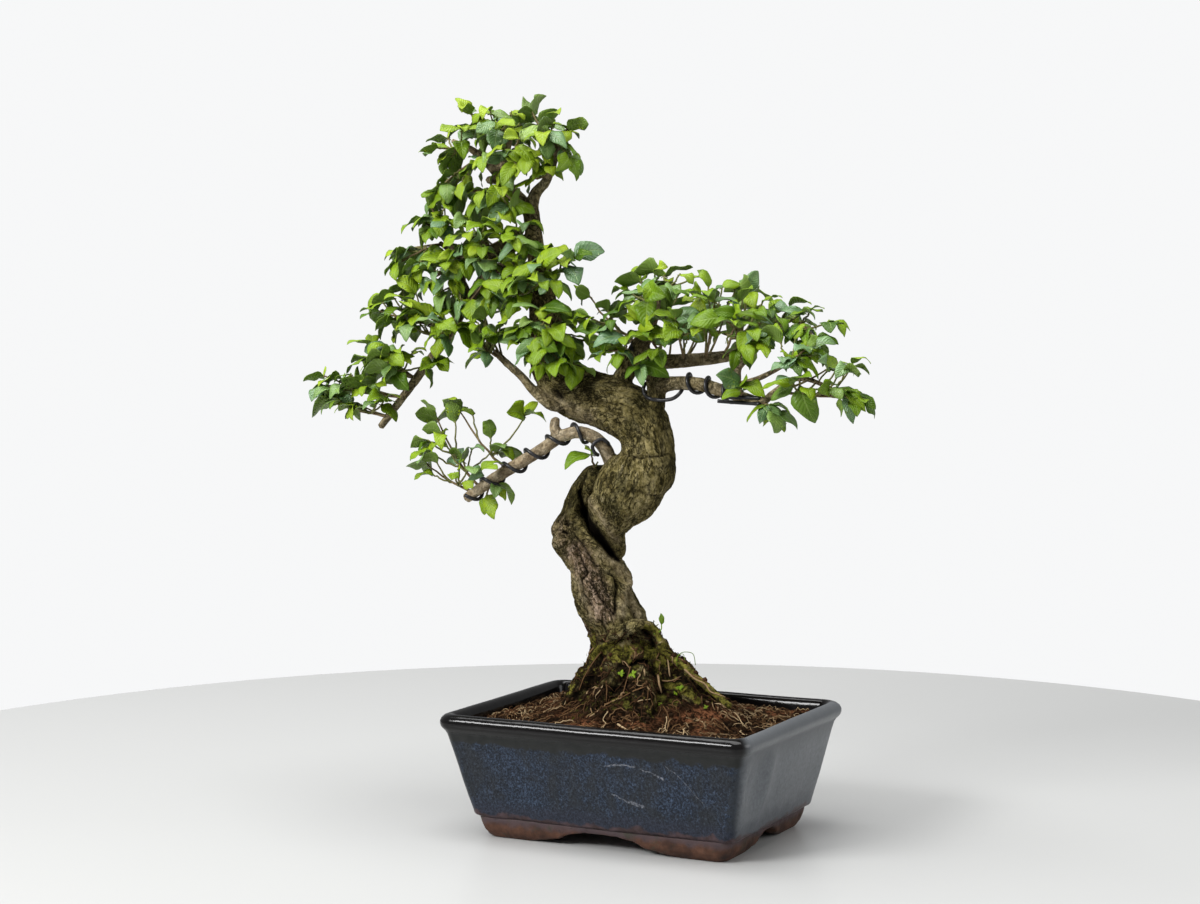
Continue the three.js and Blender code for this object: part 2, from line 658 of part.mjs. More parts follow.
function soilSolid(treeClear) {
  const [base, edge] = [SOIL_BOTTOM, SOIL_EDGE].map((height) => innerRing(height));
  const rings = [base, edge];
  for (const scale of SOIL_RINGS) {
    rings.push(edge.map((point) => {
      const x = ROOT_ORIGIN.x + (point.x - ROOT_ORIGIN.x) * scale;
      const y = ROOT_ORIGIN.y + (point.y - ROOT_ORIGIN.y) * scale;
      return new THREE.Vector3(x, y, soilHeight(x, y));
    }));
  }
  return biggest(solidOf(loft(rings)).subtract(treeClear));
}

// The whole, with its middle over the origin

const group = new THREE.Group();

function addPiece(name, geometry, colour, roughness, metalness = 0) {
  const material = new THREE.MeshStandardMaterial({ color: colour, roughness, metalness });
  const mesh = new THREE.Mesh(geometry, material);
  mesh.name = name;
  group.add(mesh);
  return mesh;
}

addPiece("pot", geometryOf(potSolid()), COLOURS.glaze, 0.25).position.x = POT_X;
for (const [name, side] of [["drain_mesh_left", -1], ["drain_mesh_right", 1]]) {
  const piece = addPiece(name, geometryOf(drainMeshSolid()), COLOURS.mesh, 0.6);
  piece.position.set(POT_X + side * DRAIN_OFFSET, 0, FLOOR_TOP + GAP + MESH_THICKNESS / 2);
}

const treeClear = treeSolid(GAP);
addPiece("soil", geometryOf(soilSolid(treeClear)), COLOURS.soil, 1);
addPiece("trunk", geometryOf(treeSolid(0)), COLOURS.bark, 0.85);

const tree = [treeClear];
const sprays = [];
for (const [name, points] of Object.entries(WIRES)) {
  addPiece(name, geometryOf(biggest(wireSolid(points, 0).subtract(treeClear))), COLOURS.wire, 0.4);
  tree.push(wireSolid(points, GAP));
}

Object.entries(SPRAYS).forEach(([name, rows], number) => {
  const spray = growSpray(rows, 100 * (number + 1), tree, sprays);
  addPiece(`spray_${name}`, geometryOf(spray.solid), COLOURS.leaf, 0.45);
  sprays.push(spray.clear);
});

const middle = new THREE.Box3().setFromObject(group).getCenter(new THREE.Vector3());
group.position.set(-middle.x, -middle.y, 0);

export default group;
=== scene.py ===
"""Mandarin bonsai in its pot: the looks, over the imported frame.

Lengths are in millimetres in the pot's own frame (x along its long side, y to the back, z up from the table)
until a mesh is made, which turns them into metres in the row's frame.
"""

import math
import random

import bpy
import numpy as np
from mathutils import Matrix, Vector, noise
from mathutils.bvhtree import BVHTree

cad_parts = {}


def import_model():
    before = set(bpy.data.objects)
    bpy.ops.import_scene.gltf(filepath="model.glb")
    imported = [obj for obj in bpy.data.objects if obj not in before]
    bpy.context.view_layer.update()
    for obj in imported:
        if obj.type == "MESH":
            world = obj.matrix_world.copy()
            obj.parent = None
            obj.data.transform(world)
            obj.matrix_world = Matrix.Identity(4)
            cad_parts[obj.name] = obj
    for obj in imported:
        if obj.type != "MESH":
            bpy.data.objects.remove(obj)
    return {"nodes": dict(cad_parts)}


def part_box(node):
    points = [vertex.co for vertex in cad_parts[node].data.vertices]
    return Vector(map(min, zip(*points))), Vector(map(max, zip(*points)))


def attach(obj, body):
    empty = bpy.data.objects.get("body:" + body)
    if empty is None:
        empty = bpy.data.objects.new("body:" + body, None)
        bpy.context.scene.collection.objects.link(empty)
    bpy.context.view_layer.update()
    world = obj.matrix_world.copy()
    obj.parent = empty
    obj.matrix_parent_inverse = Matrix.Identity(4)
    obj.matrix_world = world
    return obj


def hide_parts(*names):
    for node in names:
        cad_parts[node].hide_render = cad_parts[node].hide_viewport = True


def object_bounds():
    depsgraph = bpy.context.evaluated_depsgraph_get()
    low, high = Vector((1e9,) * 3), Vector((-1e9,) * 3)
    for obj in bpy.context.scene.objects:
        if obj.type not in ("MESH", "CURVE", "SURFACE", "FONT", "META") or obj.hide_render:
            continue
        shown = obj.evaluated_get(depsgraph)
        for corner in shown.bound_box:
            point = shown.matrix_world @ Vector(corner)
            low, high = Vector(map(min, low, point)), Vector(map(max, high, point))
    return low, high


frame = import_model()
cad_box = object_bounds()

POT_X = -2.0
pot_low, pot_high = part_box("pot")
SHIFT = np.array([500 * (pot_low.x + pot_high.x) - POT_X, 500 * (pot_low.y + pot_high.y), 0.0])

EYE = np.array([787.4, -1559.9, 407.0])
TURN = math.radians(27.9)
DIP = math.radians(3.34)
ROLL = math.radians(0.56)
FOCAL_PIXELS = 2200
IMAGE = (1200, 904)
UP = np.array([0.0, 0.0, 1.0])

SOIL_LEVEL = 91.0
ROOT_ORIGIN = np.array([-6.0, 0.0, 0.0])
WIRE_RADIUS = 1.7


def world(points):
    """Points of the pot's frame as metres in the row's frame."""
    return (np.asarray(points, float) + SHIFT) / 1000


def seen(row):
    """The point at depth y on the line of sight through (a, h) in the upright plane that faces the camera."""
    a, h, y = row
    in_plane = np.array([a * math.cos(TURN), a * math.sin(TURN), h])
    along = (y - EYE[1]) / (in_plane[1] - EYE[1])
    return EYE + (in_plane - EYE) * along


def camera_axes():
    forward = np.array([-math.sin(TURN) * math.cos(DIP), math.cos(TURN) * math.cos(DIP), -math.sin(DIP)])
    right = np.cross(forward, UP)
    right /= np.linalg.norm(right)
    above = np.cross(right, forward)
    cos, sin = math.cos(ROLL), math.sin(ROLL)
    return forward, cos * right - sin * above, sin * right + cos * above


FORWARD, RIGHT, ABOVE = camera_axes()


def pixels(points):
    """Where points show in the photograph, as pixels of its 1200 x 904."""
    away = np.asarray(points, float) - EYE
    depth = away @ FORWARD
    across = IMAGE[0] / 2 + FOCAL_PIXELS * (away @ RIGHT) / depth
    down = IMAGE[1] / 2 - FOCAL_PIXELS * (away @ ABOVE) / depth
    return np.stack([across, down], 1)


def unit(vector):
    return vector / np.linalg.norm(vector, axis=-1, keepdims=True)


def lerp(low, high, share):
    return low + (high - low) * share


def drawn_share(draw, middle, spread):
    """A random value about the middle, between 0 and 1."""
    return min(max(draw.gauss(middle, spread), 0), 1)


def smooth_step(low, high, value):
    share = np.clip((value - low) / (high - low), 0, 1)
    return share * share * (3 - 2 * share)


# Tables of the frame: limbs as a, h, y and radius, roots by direction and reach, and sprays as the number of
# twigs that have leaves in the frame, then root and tips
LIMBS = {
    "strand": [(-4, 76, 0, 30), (-4, 94, 0, 43), (-4, 108, 0, 42), (-9, 125, 0, 37), (-16, 142, 0, 30),
        (-19, 154, 0, 27), (-23, 170, 0, 25.5), (-30, 187, 0, 24.5), (-35, 203, 2, 24),
        (-40, 217, 4, 21.5), (-48, 232, 6, 20), (-55, 247, 7, 17.5), (-54, 261, 6, 14.5),
        (-49, 275, 5, 12), (-41, 284, 3, 10.5), (-29, 283, 0, 11)],
    "lobe": [(-21, 221, 10, 6.5), (-24, 232, 8, 11), (-27, 244, 5, 16), (-23, 257, 1, 22.5),
        (-12, 272, -4, 28.5), (0, 289, -7, 26.5), (4, 306, -6, 21.5), (2, 322, -3, 21.5),
        (-7, 335, 0, 21.5), (-24, 345, 3, 20), (-45, 352, 6, 20), (-61, 361, 6, 20), (-71, 377, 5, 18.5),
        (-75, 394, 4, 15), (-77, 412, 2, 13), (-79, 432, 0, 10.5), (-82, 454, 2, 8), (-87, 500, 4, 6.5)],
    "fork_right": [(-87, 497, 4, 6), (-83, 510, 2, 4.8), (-75, 519, 0, 4), (-68, 536, -6, 3),
        (-63, 546, -8, 2.4)],
    "fork_left": [(-87, 496, 4, 6.4), (-106, 516, 5, 6.2), (-112, 526, 6, 5.2), (-133, 545, 0, 2.7),
        (-148, 552, -4, 1.9)],
    "fork_top": [(-109, 521, 5, 4.8), (-107, 535, 8, 3.7), (-104, 549, 10, 2.8), (-101, 565, 10, 1.9)],
    "fork_stub": [(-112, 521, 4, 3.6), (-120, 521, -8, 3.4)],
    "arch": [(-80, 446, 0, 7.2), (-94, 449, 0, 5.6), (-108, 452, -2, 4.8), (-120, 449, -4, 4.5),
        (-130, 437, -6, 4.3), (-155, 397, -10, 4.2), (-179, 365, -14, 3.8), (-208, 327, -18, 2.9)],
    "dark": [(-83, 471, 3, 7.2), (-100, 471, 6, 6.4), (-115, 466, 8, 6), (-127, 457, 10, 5.2),
        (-139, 457, 8, 3.7), (-150, 465, 4, 2.4), (-159, 472, 0, 1.8)],
    "slim": [(-136, 431, -8, 2.4), (-142, 444, -4, 2.2), (-150, 469, 0, 1.8), (-154, 480, 0, 1.4)],
    "flank": [(-57, 345, 0, 5.6), (-70, 342, -8, 4.8), (-84, 352, -12, 4), (-96, 366, -16, 3.4),
        (-108, 377, -20, 2.9), (-117, 386, -24, 2.4)],
    "hub": [(-24, 345, 2, 9.6), (-17, 361, 4, 8), (-8, 376, 4, 8), (-1, 390, 2, 7.2), (7, 405, 0, 4.8),
        (12, 422, -2, 3.2), (14, 436, -2, 2)],
    "neck": [(8, 336, -4, 9.6), (11, 349, -4, 7.6), (10, 362, -2, 7.2), (6, 375, 0, 7.2), (0, 386, 2, 6.4)],
    "upper": [(6, 376, 0, 6.4), (34, 377, 10, 5.6), (66, 380, 18, 4.8), (79, 383, 20, 4.3),
        (91, 392, 22, 3.2), (105, 402, 24, 2.4), (121, 410, 24, 1.8)],
    "wired": [(10, 356, -3, 6.4), (24, 359, -6, 5.8), (46, 358, -12, 5.4), (63, 353, -18, 5),
        (82, 347, -24, 4.2), (95, 344, -28, 3.4), (106, 352, -32, 2.6), (119, 361, -36, 2.1),
        (132, 361, -38, 1.9), (165, 346, -44, 1.4)],
    "cross": [(73, 350, -20, 3.5), (75, 361, -14, 3.5), (76, 372, -8, 3.7), (86, 381, 0, 3.2),
        (94, 392, 6, 2.6)],
    "thin": [(75, 357, -16, 2.4), (94, 363, -22, 2.1), (117, 375, -28, 1.6)],
    "low": [(-19, 286, -4, 6.2), (-25.5, 298, -10, 5.8), (-31.5, 310, -16, 5.6), (-40, 317.5, -20, 5.3),
        (-52, 321, -24, 5), (-66, 317, -27, 5.1), (-81, 307, -30, 5), (-113, 288, -38, 5),
        (-141, 269, -46, 4.2)],
    "stub": [(-66, 317, -27, 4.8), (-70, 325, -27, 4.3), (-69, 332, -27, 3.7)],
    "knob": [(-44, 226, 6, 15), (-59, 231, -4, 12.5), (-68, 236, -10, 7.5)],
    "root_loop": [(-35, 155, -22, 3.5), (-21, 161, -30, 4), (-7, 167, -24, 4.4), (5, 164, -14, 4),
        (14, 151, -12, 4), (25, 138, -14, 3.4), (44, 121, -20, 3), (68, 100, -26, 2.4)],
}

SPRAYS = {
    "apex_left": (3, [(-134, 545, 0), (-161, 547, -12), (-140, 562, -14), (-152, 555, 4), (-149, 539, -2),
        (-145, 546, -4)]),
    "apex_crown": (3, [(-104, 548, 10), (-134, 574, 4), (-93, 566, 22), (-113, 566, -20), (-128, 562, 20),
        (-106, 560, 8), (-118, 576, -6), (-101, 575, 6)]),
    "apex_right": (3, [(-64, 545, -8), (-85, 574, -4), (-55, 538, -12), (-75, 558, -26), (-57, 561, -4),
        (-58, 546, 2), (-69, 568, -10), (-67, 554, -8)]),
    "apex_front": (3, [(-107, 532, 6), (-95, 554, -28), (-133, 532, -14), (-103, 539, -10),
        (-81, 543, -16), (-111, 526, -20), (-108, 546, -24), (-122, 538, -22), (-98, 533, -22),
        (-87, 538, -24)]),
    "apex_back": (3, [(-103, 557, 10), (-103, 552, 52), (-75, 561, 30), (-126, 558, 40), (-99, 560, 30),
        (-110, 571, 46), (-91, 566, 42)]),
    "apex_tuft": (1, [(-71, 524, -3), (-87, 521, -8), (-73, 532, -12), (-76, 528, -6)]),
    "left_high": (3, [(-123, 539, 3), (-161, 512, -6), (-136, 524, -8), (-141, 519, -22), (-147, 508, -4),
        (-154, 516, -16)]),
    "left_tier_high": (2, [(-154, 479, 0), (-166, 503, -10), (-152, 488, -20), (-171, 487, 4),
        (-165, 482, -14), (-155, 501, -18), (-159, 493, -6), (-170, 492, -8)]),
    "mid_high": (2, [(-105, 514, 5), (-135, 512, -16), (-105, 500, -14), (-111, 515, -22),
        (-116, 508, -10), (-129, 501, -10), (-125, 512, -24)]),
    "front_cluster": (2, [(-112, 467, 8), (-137, 479, -26), (-114, 494, -18), (-124, 477, -10),
        (-135, 491, -12), (-126, 468, -30), (-123, 488, -26), (-143, 469, -22)]),
    "front_cluster_right": (3, [(-88, 471, 3), (-109, 480, -24), (-99, 496, -12), (-93, 469, -20),
        (-100, 480, -12), (-100, 475, -30), (-95, 486, -16)]),
    "left_tip": (3, [(-158, 471, 0), (-191, 457, -14), (-169, 465, -6), (-175, 455, -18), (-180, 468, -4),
        (-188, 467, -12)]),
    "left_mid": (2, [(-147, 455, -2), (-167, 441, -22), (-154, 457, -24), (-150, 442, -20),
        (-171, 451, -18), (-158, 456, -14), (-162, 448, -26)]),
    "left_inner": (2, [(-123, 460, 9), (-146, 463, -20), (-118, 457, -16), (-132, 465, -6),
        (-127, 457, -24), (-142, 457, -18)]),
    "left_low": (2, [(-140, 441, -5), (-159, 433, -24), (-142, 425, -24), (-156, 424, -10),
        (-149, 436, -14), (-150, 430, -18)]),
    "left_outer": (3, [(-150, 405, -9), (-209, 419, -14), (-179, 433, -16), (-197, 430, -20),
        (-190, 438, -8), (-187, 427, -26), (-177, 422, -14), (-206, 427, -10)]),
    "left_outer_low": (2, [(-155, 397, -10), (-198, 413, -16), (-163, 416, -20), (-186, 410, -28),
        (-190, 403, -10), (-172, 410, -16), (-180, 416, -22)]),
    "left_front": (2, [(-151, 403, -10), (-161, 410, -36), (-142, 419, -18), (-154, 406, -22),
        (-160, 398, -30), (-144, 408, -20), (-150, 407, -28)]),
    "left_tier": (3, [(-179, 365, -14), (-216, 393, -20), (-165, 377, -22), (-198, 370, -34),
        (-182, 386, -16), (-201, 385, -38), (-194, 378, -18), (-219, 382, -12), (-204, 393, -28),
        (-209, 377, -32), (-192, 386, -26)]),
    "left_end": (4, [(-190, 350, -15), (-254, 368, -10), (-214, 361, -20), (-236, 359, -30),
        (-240, 366, -14), (-253, 360, -22), (-232, 369, -26), (-219, 359, -30), (-248, 356, -26)]),
    "left_end_low": (2, [(-201, 335, -17), (-246, 347, -16), (-202, 351, -26), (-224, 342, -22),
        (-242, 349, -26), (-231, 344, -30), (-210, 348, -30), (-223, 344, -20)]),
    "mid_left": (2, [(-110, 379, -21), (-127, 392, -33), (-124, 414, -30), (-125, 417, -20),
        (-125, 387, -34), (-115, 403, -32), (-110, 412, -24), (-130, 409, -28), (-120, 399, -26),
        (-128, 393, -32)]),
    "mid_arch": (3, [(-108, 452, -2), (-136, 425, -22), (-100, 444, -30), (-121, 439, -26),
        (-112, 442, -14), (-118, 428, -24), (-108, 441, -28)]),
    "mid_front": (3, [(-80, 429, 0), (-107, 434, -34), (-102, 458, -18), (-80, 440, -36), (-90, 434, -22),
        (-96, 452, -26), (-100, 428, -32), (-88, 444, -34)]),
    "mid_right": (3, [(-80, 440, 0), (-52, 460, -10), (-82, 455, -30), (-71, 448, -12), (-72, 468, -8),
        (-68, 441, -24), (-63, 459, -16), (-76, 460, -22)]),
    "trunk_front": (2, [(-77, 409, 0), (-85, 395, -42), (-80, 420, -34), (-96, 404, -30), (-71, 404, -36),
        (-82, 406, -24), (-88, 409, -38), (-77, 410, -42)]),
    "trunk_front_low": (3, [(-73, 385, 3), (-77, 388, -44), (-53, 374, -20), (-97, 393, -32),
        (-80, 386, -26), (-65, 377, -32), (-80, 375, -42), (-90, 385, -38)]),
    "mid_side": (2, [(-76, 402, 4), (-69, 398, -34), (-44, 393, -12), (-65, 418, -22), (-63, 406, -12),
        (-61, 390, -26), (-54, 412, -20), (-51, 397, -18)]),
    "right_left": (2, [(-1, 390, 2), (-42, 430, -14), (-31, 402, -24), (-27, 418, -16), (-42, 412, -20),
        (-33, 408, -8), (-23, 410, -28)]),
    "right_left_low": (3, [(-1, 386, 2), (-30, 385, -22), (-2, 373, -22), (-13, 397, -26), (-17, 389, -12),
        (-19, 383, -28), (-27, 396, -18)]),
    "right_crown_left": (3, [(11, 420, -2), (3, 432, -32), (-15, 418, -12), (-1, 442, -4), (11, 444, -14),
        (-11, 433, -12), (-7, 425, -24), (5, 431, -8)]),
    "right_crown": (3, [(14, 435, -2), (35, 432, -30), (18, 446, 2), (11, 436, -30), (39, 442, -4),
        (24, 436, -26), (31, 446, -10), (21, 440, -2)]),
    "right_crown_back": (2, [(7, 406, 0), (23, 421, 54), (-13, 421, 34), (11, 417, 26), (31, 433, 44),
        (15, 435, 48), (-1, 429, 40)]),
    "right_mid": (2, [(34, 378, 10), (27, 411, -34), (37, 397, -6), (49, 404, -30), (38, 420, -22),
        (33, 401, -32), (18, 413, -28), (48, 414, -28)]),
    "right_dome": (3, [(50, 377, 14), (58, 425, -30), (75, 436, 4), (56, 409, 2), (46, 428, 6),
        (53, 436, -14), (64, 436, -6), (69, 424, -26)]),
    "right_dome_right": (2, [(76, 383, 19), (75, 414, -34), (102, 417, 2), (84, 433, 4), (82, 410, 8),
        (90, 415, -26), (80, 425, -22), (96, 423, -6)]),
    "right_dome_back": (2, [(64, 380, 18), (78, 420, 58), (46, 409, 50), (68, 401, 42), (86, 397, 62),
        (98, 409, 50), (58, 425, 54)]),
    "right_slope": (2, [(105, 402, 24), (100, 401, -26), (127, 414, -2), (113, 410, 8), (114, 399, -20),
        (108, 410, -18), (118, 420, 2)]),
    "right_tip_high": (3, [(120, 410, 24), (138, 392, -14), (135, 417, 2), (148, 406, -4), (130, 407, 10),
        (130, 400, -18)]),
    "right_front": (3, [(91, 391, 14), (64, 412, -40), (83, 397, -10), (82, 391, -40), (94, 391, -32),
        (75, 384, -30), (87, 401, -34), (73, 407, -38)]),
    "right_slope_low": (2, [(110, 372, -27), (132, 388, -36), (122, 376, -44), (106, 368, -26),
        (110, 391, -34), (114, 378, -44), (119, 380, -30), (138, 380, -26), (122, 394, -28),
        (126, 376, -42)]),
    "right_far": (4, [(105, 351, -32), (173, 345, -38), (119, 359, -46), (148, 370, -32), (149, 353, -50),
        (167, 374, -40), (156, 364, -46), (130, 354, -48), (144, 356, -40), (157, 375, -38),
        (165, 344, -44), (162, 367, -48)]),
    "right_drop": (1, [(79, 348, -27), (78, 360, -38), (79, 355, -33)]),
    "right_bud": (1, [(95, 344, -30), (108, 332, -36), (98, 340, -36), (99, 340, -33)]),
    "right_inner": (2, [(21, 377, 5), (-1, 410, -22), (16, 394, 0), (24, 401, -22), (10, 386, -20),
        (5, 400, -28)]),
    "low_v": (3, [(-108, 293, -36), (-146, 340, -30), (-93, 336, -36), (-114, 306, -34), (-121, 318, -36),
        (-135, 336, -28)]),
    "low_main": (4, [(-130, 278, -42), (-164, 335, -38), (-120, 307, -42), (-169, 306, -52),
        (-143, 301, -42), (-171, 316, -38), (-149, 331, -42), (-156, 311, -48), (-161, 323, -44),
        (-136, 308, -44)]),
    "low_front": (2, [(-135, 274, -44), (-173, 298, -46), (-128, 293, -56), (-150, 290, -62),
        (-167, 288, -52), (-146, 292, -50), (-141, 283, -60), (-138, 295, -60), (-164, 298, -54)]),
    "low_under": (1, [(-120, 284, -40), (-125, 269, -44), (-116, 278, -42), (-119, 280, -42)]),
    "ring_twig": (1, [(-37, 290, 0), (-41, 304, -18), (-36, 297, -12)]),
}

ROOTS = [(-14, 76), (32, 66), (84, 58), (130, 62), (176, 70), (216, 64), (258, 60), (302, 66)]
ROOT_COURSE = [(0.1, 148, 13), (0.5, 125, 11), (0.82, 105, 8), (1.1, 86, 4)]


# Curves and tubes

class Curve:
    """Centripetal curve through rows of a point and, if given, more values such as a radius."""

    def __init__(self, rows, per_span=16):
        rows = np.asarray(rows, float)
        self.rows = np.vstack([2 * rows[0] - rows[1], rows, 2 * rows[-1] - rows[-2]])
        self.spans = len(rows) - 1
        self.places = np.linspace(0, 1, self.spans * per_span + 1)
        self.samples = np.array([self.at(t) for t in self.places])
        steps = np.linalg.norm(np.diff(self.samples[:, :3], axis=0), axis=1)
        self.lengths = np.concatenate([[0], np.cumsum(steps)])
        self.length = self.lengths[-1]

    def at(self, t):
        place = min(max(t, 0), 1) * self.spans
        span = min(int(place), self.spans - 1)
        share = place - span
        p0, p1, p2, p3 = self.rows[span:span + 4]
        pairs = (p0, p1), (p1, p2), (p2, p3)
        d0, d1, d2 = [max(np.linalg.norm((b - a)[:3]) ** 0.5, 1e-3) for a, b in pairs]
        m1 = ((p1 - p0) / d0 - (p2 - p0) / (d0 + d1) + (p2 - p1) / d1) * d1
        m2 = ((p2 - p1) / d1 - (p3 - p1) / (d1 + d2) + (p3 - p2) / d2) * d1
        square, cube = share ** 2, share ** 3
        return (p1 + m1 * share + (3 * (p2 - p1) - 2 * m1 - m2) * square + (2 * (p1 - p2) + m1 + m2) * cube)

    def by_length(self, share):
        return np.interp(share * self.length, self.lengths, self.places)

    def tangent(self, t):
        return unit(self.at(min(t + 1e-4, 1))[:3] - self.at(max(t - 1e-4, 0))[:3])


def frames(points, tangents):
    """A normal and a side at each point, which turn with the line but never twist about it."""
    reference = np.array([1.0, 0, 0]) if abs(tangents[0][2]) > 0.9 else UP
    normal = np.cross(tangents[0], reference)
    normals, sides = [], []
    for tangent in tangents:
        normal = unit(normal - tangent * (normal @ tangent))
        normals.append(normal)
        sides.append(np.cross(tangent, normal))
    return np.array(normals), np.array(sides)


def tangents_of(points):
    steps = np.gradient(points, axis=0)
    return steps / np.maximum(np.linalg.norm(steps, axis=1), 1e-9)[:, None]


def tube(points, radii, sides=8, blunt=0.35):
    """Closed round tube along points, its ends domed by blunt of their radius."""
    points = np.asarray(points, float)
    radii = np.broadcast_to(np.asarray(radii, float), len(points)).copy()
    tangents = tangents_of(points)
    normals, across = frames(points, tangents)
    angles = np.arange(sides) * 2 * math.pi / sides
    ring = np.cos(angles)[None, :, None] * normals[:, None] + np.sin(angles)[None, :, None] * across[:, None]
    skin = points[:, None] + ring * radii[:, None, None]
    first = points[0] - tangents[0] * radii[0] * blunt
    last = points[-1] + tangents[-1] * radii[-1] * blunt
    vertices = np.vstack([skin.reshape(-1, 3), first, last])
    count = len(points)
    faces = []
    for level in range(count - 1):
        for corner in range(sides):
            here = level * sides + corner
            beside = level * sides + (corner + 1) % sides
            faces.append((here, beside, beside + sides, here + sides))
    low, high = count * sides, count * sides + 1
    for corner in range(sides):
        beside = (corner + 1) % sides
        faces.append((low, beside, corner))
        faces.append((high, (count - 1) * sides + corner, (count - 1) * sides + beside))
    return vertices, faces


class Soup:
    """Closed forms that make up one piece, with values at their points for the material to read."""

    def __init__(self):
        self.points, self.faces, self.values, self.count = [], [], {}, 0

    def add(self, points, faces, **values):
        points = np.asarray(points, float)
        for name, value in values.items():
            if name not in self.values:
                self.values[name] = [np.zeros(self.count)] if self.count else []
            self.values[name].append(np.broadcast_to(np.asarray(value, float), len(points)))
        for name in self.values:
            if name not in values:
                self.values[name].append(np.zeros(len(points)))
        start = self.count
        self.faces.extend([tuple(corner + start for corner in face) for face in faces])
        self.points.append(points)
        self.count += len(points)

    def mesh(self, name):
        mesh = bpy.data.meshes.new(name)
        mesh.from_pydata(world(np.concatenate(self.points)).tolist(), [], self.faces)
        for key, arrays in self.values.items():
            made = mesh.attributes.new(key, "FLOAT", "POINT")
            made.data.foreach_set("value", np.concatenate(arrays).astype(np.float32))
        mesh.polygons.foreach_set("use_smooth", np.ones(len(mesh.polygons), bool))
        mesh.update()
        return mesh

    def make(self, name, material, slot, *nodes):
        return piece(self.mesh(name), name, material, slot, *nodes)


def piece(mesh, name, material, slot, *nodes):
    obj = bpy.data.objects.new(name, mesh)
    bpy.context.collection.objects.link(obj)
    mesh.materials.clear()
    mesh.materials.append(material)
    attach(obj, "root")
    if nodes:
        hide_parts(*nodes)
    return obj


def remeshed(soup, voxel, smoothing):
    """The soup's forms grown into one skin. Returns its points in millimetres, normals and faces."""
    mesh = soup.mesh("remesh")
    obj = bpy.data.objects.new("remesh", mesh)
    bpy.context.collection.objects.link(obj)
    grown = obj.modifiers.new("grown", "REMESH")
    grown.mode = "VOXEL"
    grown.voxel_size = voxel / 1000
    if smoothing:
        eased = obj.modifiers.new("eased", "SMOOTH")
        eased.factor = 0.5
        eased.iterations = smoothing
    found = bpy.data.meshes.new_from_object(obj.evaluated_get(bpy.context.evaluated_depsgraph_get()))
    bpy.data.objects.remove(obj)
    return arrays_of(found)


def arrays_of(mesh):
    points = np.zeros(len(mesh.vertices) * 3)
    mesh.vertices.foreach_get("co", points)
    normals = np.zeros(len(mesh.vertices) * 3)
    mesh.vertex_normals.foreach_get("vector", normals)
    faces = [tuple(polygon.vertices) for polygon in mesh.polygons]
    return points.reshape(-1, 3) * 1000 - SHIFT, normals.reshape(-1, 3), faces


def bvh_of(points, faces):
    return BVHTree.FromPolygons(np.asarray(points).tolist(), faces)


def view_ray(pixel):
    across = (pixel[0] - IMAGE[0] / 2) / FOCAL_PIXELS
    down = (pixel[1] - IMAGE[1] / 2) / FOCAL_PIXELS
    return unit(FORWARD + across * RIGHT - down * ABOVE)


def bumps(points, size, seed=0.0, octaves=3):
    """Smooth random relief between about -1 and 1, with lumps of the given size."""
    scaled = np.asarray(points) / size + seed
    return np.array([noise.fractal(Vector(row), 0.9, 2.1, octaves) for row in scaled])


def to_line(places, line):
    """Distance of each place to a chain of points, in the unit of both."""
    line = np.asarray(line, float)
    best = np.full(len(places), 1e9)
    for start, end in zip(line[:-1], line[1:]):
        along = end - start
        share = np.clip((places - start) @ along / max(along @ along, 1e-9), 0, 1)
        best = np.minimum(best, np.linalg.norm(places - start - share[:, None] * along, axis=1))
    return best


# Materials: node graphs over the piece's own coordinates

class Signal:
    """A node's output. Plain arithmetic on it makes Math nodes."""

    def __init__(self, look, socket):
        self.look = look
        self.socket = socket

    def __add__(self, other):
        return self.look.math("ADD", self, other)

    def __sub__(self, other):
        return self.look.math("SUBTRACT", self, other)

    def __mul__(self, other):
        return self.look.math("MULTIPLY", self, other)

    def __abs__(self):
        return self.look.math("ABSOLUTE", self)


